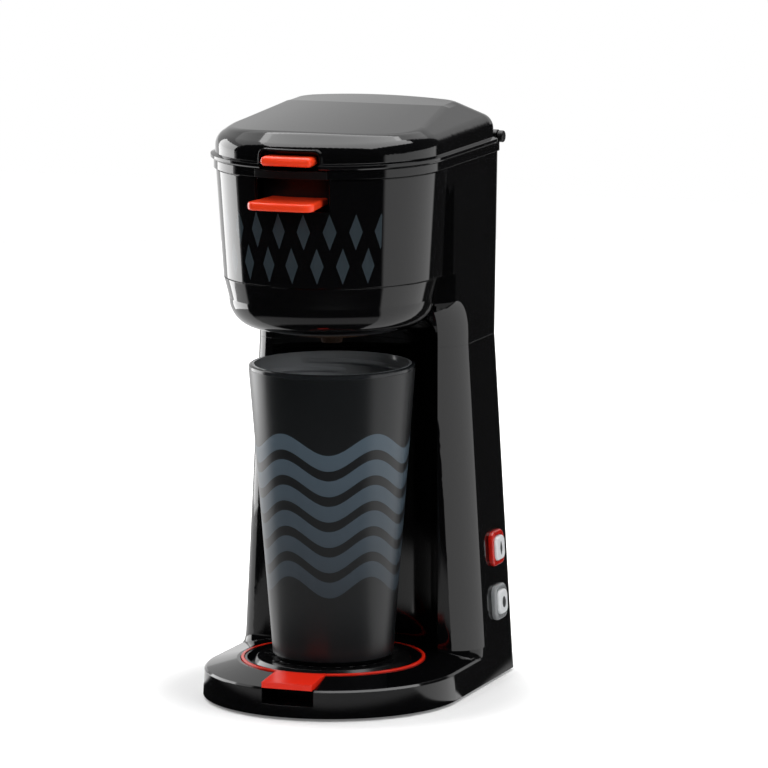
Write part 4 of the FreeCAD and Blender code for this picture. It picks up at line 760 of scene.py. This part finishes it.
def studio_paper(name, albedo, lift, sectors, near_sectors=None):
    """White paper: lit and shadowed as seen by the camera, in sectors as seen by gloss."""
    material, tree = new_material(name)
    path = add(tree, "ShaderNodeLightPath")
    place = add(tree, "ShaderNodeTexCoord").outputs["Object"]
    away = add(tree, "ShaderNodeVectorMath", operation="LENGTH", links=[(place, 0)])
    grain = add(tree, "ShaderNodeTexNoise", links=[(place, "Vector")], in_Scale=1 / (PAPER_GRAIN_MM * MM))
    tone = add(tree, "ShaderNodeMapRange", links=[(grain.outputs["Fac"], "Value")],
               in_3=albedo * (1 - PAPER_GRAIN), in_4=albedo)
    paper = add(tree, "ShaderNodeBsdfDiffuse", links=[(tone.outputs["Result"], "Color")])
    seen = add(tree, "ShaderNodeMath", operation="MAXIMUM",
               links=[(path.outputs["Is Camera Ray"], 0), (path.outputs["Is Transmission Ray"], 1)])
    whiter = add(tree, "ShaderNodeMapRange", links=[(away.outputs["Value"], "Value")],
                 interpolation_type="SMOOTHSTEP", in_1=WHITE_FROM, in_2=WHITE_AT, in_3=lift, in_4=1.0)
    raised = add(tree, "ShaderNodeMath", operation="MULTIPLY",
                 links=[(seen.outputs["Value"], 0), (whiter.outputs["Result"], 1)])
    glow = add(tree, "ShaderNodeEmission", links=[(raised.outputs["Value"], "Strength")])
    both = add(tree, "ShaderNodeAddShader",
               links=[(paper.outputs["BSDF"], 0), (glow.outputs["Emission"], 1)])
    far_level = sector_light(tree, place, sectors)
    near_level = sector_light(tree, place, near_sectors or sectors)
    past, before = [add(tree, "ShaderNodeMapRange", links=[(away.outputs["Value"], "Value")],
                        interpolation_type="SMOOTHSTEP", in_1=start, in_2=end)
                    for start, end in (NEAR_FROM, NEAR_TO)]
    ring = add(tree, "ShaderNodeMath", operation="SUBTRACT",
               links=[(past.outputs["Result"], 0), (before.outputs["Result"], 1)])
    level = add(tree, "ShaderNodeMix", data_type="FLOAT",
                links=[(ring.outputs["Value"], 0), (far_level, 2), (near_level, 3)])
    cards = add(tree, "ShaderNodeEmission", links=[(level.outputs[0], "Strength")])
    either = add(tree, "ShaderNodeMixShader",
                 links=[(path.outputs["Is Glossy Ray"], 0), (both.outputs["Shader"], 1),
                        (cards.outputs["Emission"], 2)])
    add(tree, "ShaderNodeOutputMaterial", links=[(either.outputs["Shader"], "Surface")])
    return material


print("white from", WHITE_AT, "m outward")

# %% [markdown]
# ## Table and screens
# The table is one flat sheet. Three curved walls stand round it, one over the other, open towards
# the camera: cards at the height of the machine, a quieter wall for the head's upper parts, and a
# bright one that closes the gap to the overhead soft box, which the lid mirrors.

# %% Table and screens
TABLE_FRONT = -0.6
TABLE_BACK = 1.9
TABLE_HALF = 1.9
TABLE_ALBEDO = 0.8
TABLE_LIFT = 0.15
SCREEN_R = 1.7
SCREEN_STEPS = 48
SCREEN_FROM_DEG = -20.0
SCREEN_TO_DEG = 186.0
SCREEN_ALBEDO = 0.3
SCREEN_LIFT = 1.0
CARD_TOP = 0.36
UPPER_TOP = 1.3
SCREEN_TOP = 2.5


def stage_mesh(name, points, faces, material):
    """A mesh object that belongs to the studio and not to the part."""
    mesh = bpy.data.meshes.new(name)
    mesh.from_pydata(points, [], faces)
    mesh.materials.append(material)
    obj = bpy.data.objects.new(name, mesh)
    bpy.context.scene.collection.objects.link(obj)
    return obj


def screen(name, low, high, sectors):
    """Curved wall round the machine, open towards the camera and unseen by it."""
    rim = []
    for i in range(SCREEN_STEPS + 1):
        a = math.radians(SCREEN_FROM_DEG + (SCREEN_TO_DEG - SCREEN_FROM_DEG) * i / SCREEN_STEPS)
        rim += [(SCREEN_R * math.cos(a), SCREEN_R * math.sin(a), z) for z in (low, high)]
    faces = [(i, i + 2, i + 3, i + 1) for i in range(0, 2 * SCREEN_STEPS, 2)]
    wall = stage_mesh(name, rim, faces, studio_paper(name + "_paper", SCREEN_ALBEDO, SCREEN_LIFT, sectors))
    wall.visible_camera = False


stage_mesh("table", [(-TABLE_HALF, TABLE_FRONT, 0), (TABLE_HALF, TABLE_FRONT, 0),
                     (TABLE_HALF, TABLE_BACK, 0), (-TABLE_HALF, TABLE_BACK, 0)], [(0, 1, 2, 3)],
           studio_paper("white_table_paper", TABLE_ALBEDO, TABLE_LIFT,
                        card_sectors(DARK_FRONT), card_sectors(GREY_FRONT)))
screen("card_screen", 0.0, CARD_TOP, card_sectors(DARK_FRONT))
screen("upper_screen", CARD_TOP, UPPER_TOP, UPPER_SECTORS)
screen("top_screen", UPPER_TOP, SCREEN_TOP, TOP_SECTORS)

# %% [markdown]
# ## Lamps
# A large soft box overhead lights everything evenly, and the lid mirrors it. A smaller one stands
# close by on the left and makes the bright band along that edge. Two fills bring up the matt
# and coloured pieces from the front and the right, and gloss doesn't show them. Each lamp is set
# by its brightness as a surface, so its size can change without changing how bright it looks.

# %% Lamps


def soft_box(name, at, towards, width, height, radiance, in_gloss=True, in_camera=True):
    """Area lamp of a given size and brightness, turned towards a point."""
    data = bpy.data.lights.new(name, "AREA")
    data.shape = "RECTANGLE"
    data.size, data.size_y = width, height
    data.energy = radiance * math.pi * width * height
    lamp = bpy.data.objects.new(name, data)
    lamp.location = at
    lamp.rotation_euler = (Vector(towards) - Vector(at)).to_track_quat("-Z", "Y").to_euler()
    lamp.visible_glossy = in_gloss
    lamp.visible_camera = in_camera
    bpy.context.scene.collection.objects.link(lamp)


LOWER_HALF = (0.0, 0.0, 0.15)
soft_box("overhead_box", at=(0.05, 0.3, 1.45), towards=(0.05, 0.3, 0.0), width=1.9, height=1.3, radiance=3.2)
soft_box("left_box", at=(-0.62, 0.16, 0.27), towards=(0.0, 0.0, 0.27), width=0.42, height=0.54,
         radiance=3.2, in_camera=False)
soft_box("front_fill", at=(-0.3, -1.7, 1.3), towards=LOWER_HALF, width=1.2, height=0.8, radiance=5.0,
         in_gloss=False)
soft_box("right_fill", at=(1.3, -0.5, 0.7), towards=LOWER_HALF, width=0.8, height=0.8, radiance=4.0,
         in_gloss=False)
print("lamps:", len(bpy.data.lights))

# %% [markdown]
# ## World
# To the camera, and through clear plastic, the world is plain white, like the table. To everything
# else it is almost dark, so that the lamps and the screens alone shape the object.

# %% World
WORLD_DIM = 0.01

world = bpy.data.worlds.new("studio")
bpy.context.scene.world = world
world.use_nodes = True
sky = world.node_tree
sky.nodes.clear()
path = add(sky, "ShaderNodeLightPath")
seen = add(sky, "ShaderNodeMath", operation="MAXIMUM",
           links=[(path.outputs["Is Camera Ray"], 0), (path.outputs["Is Transmission Ray"], 1)])
level = add(sky, "ShaderNodeMapRange", links=[(seen.outputs["Value"], "Value")], in_3=WORLD_DIM, in_4=1.0)
shine = add(sky, "ShaderNodeBackground", links=[(level.outputs["Result"], "Strength")],
            in_Color=(1, 1, 1, 1))
add(sky, "ShaderNodeOutputWorld", links=[(shine.outputs["Background"], "Surface")])
print("world nodes:", len(sky.nodes))
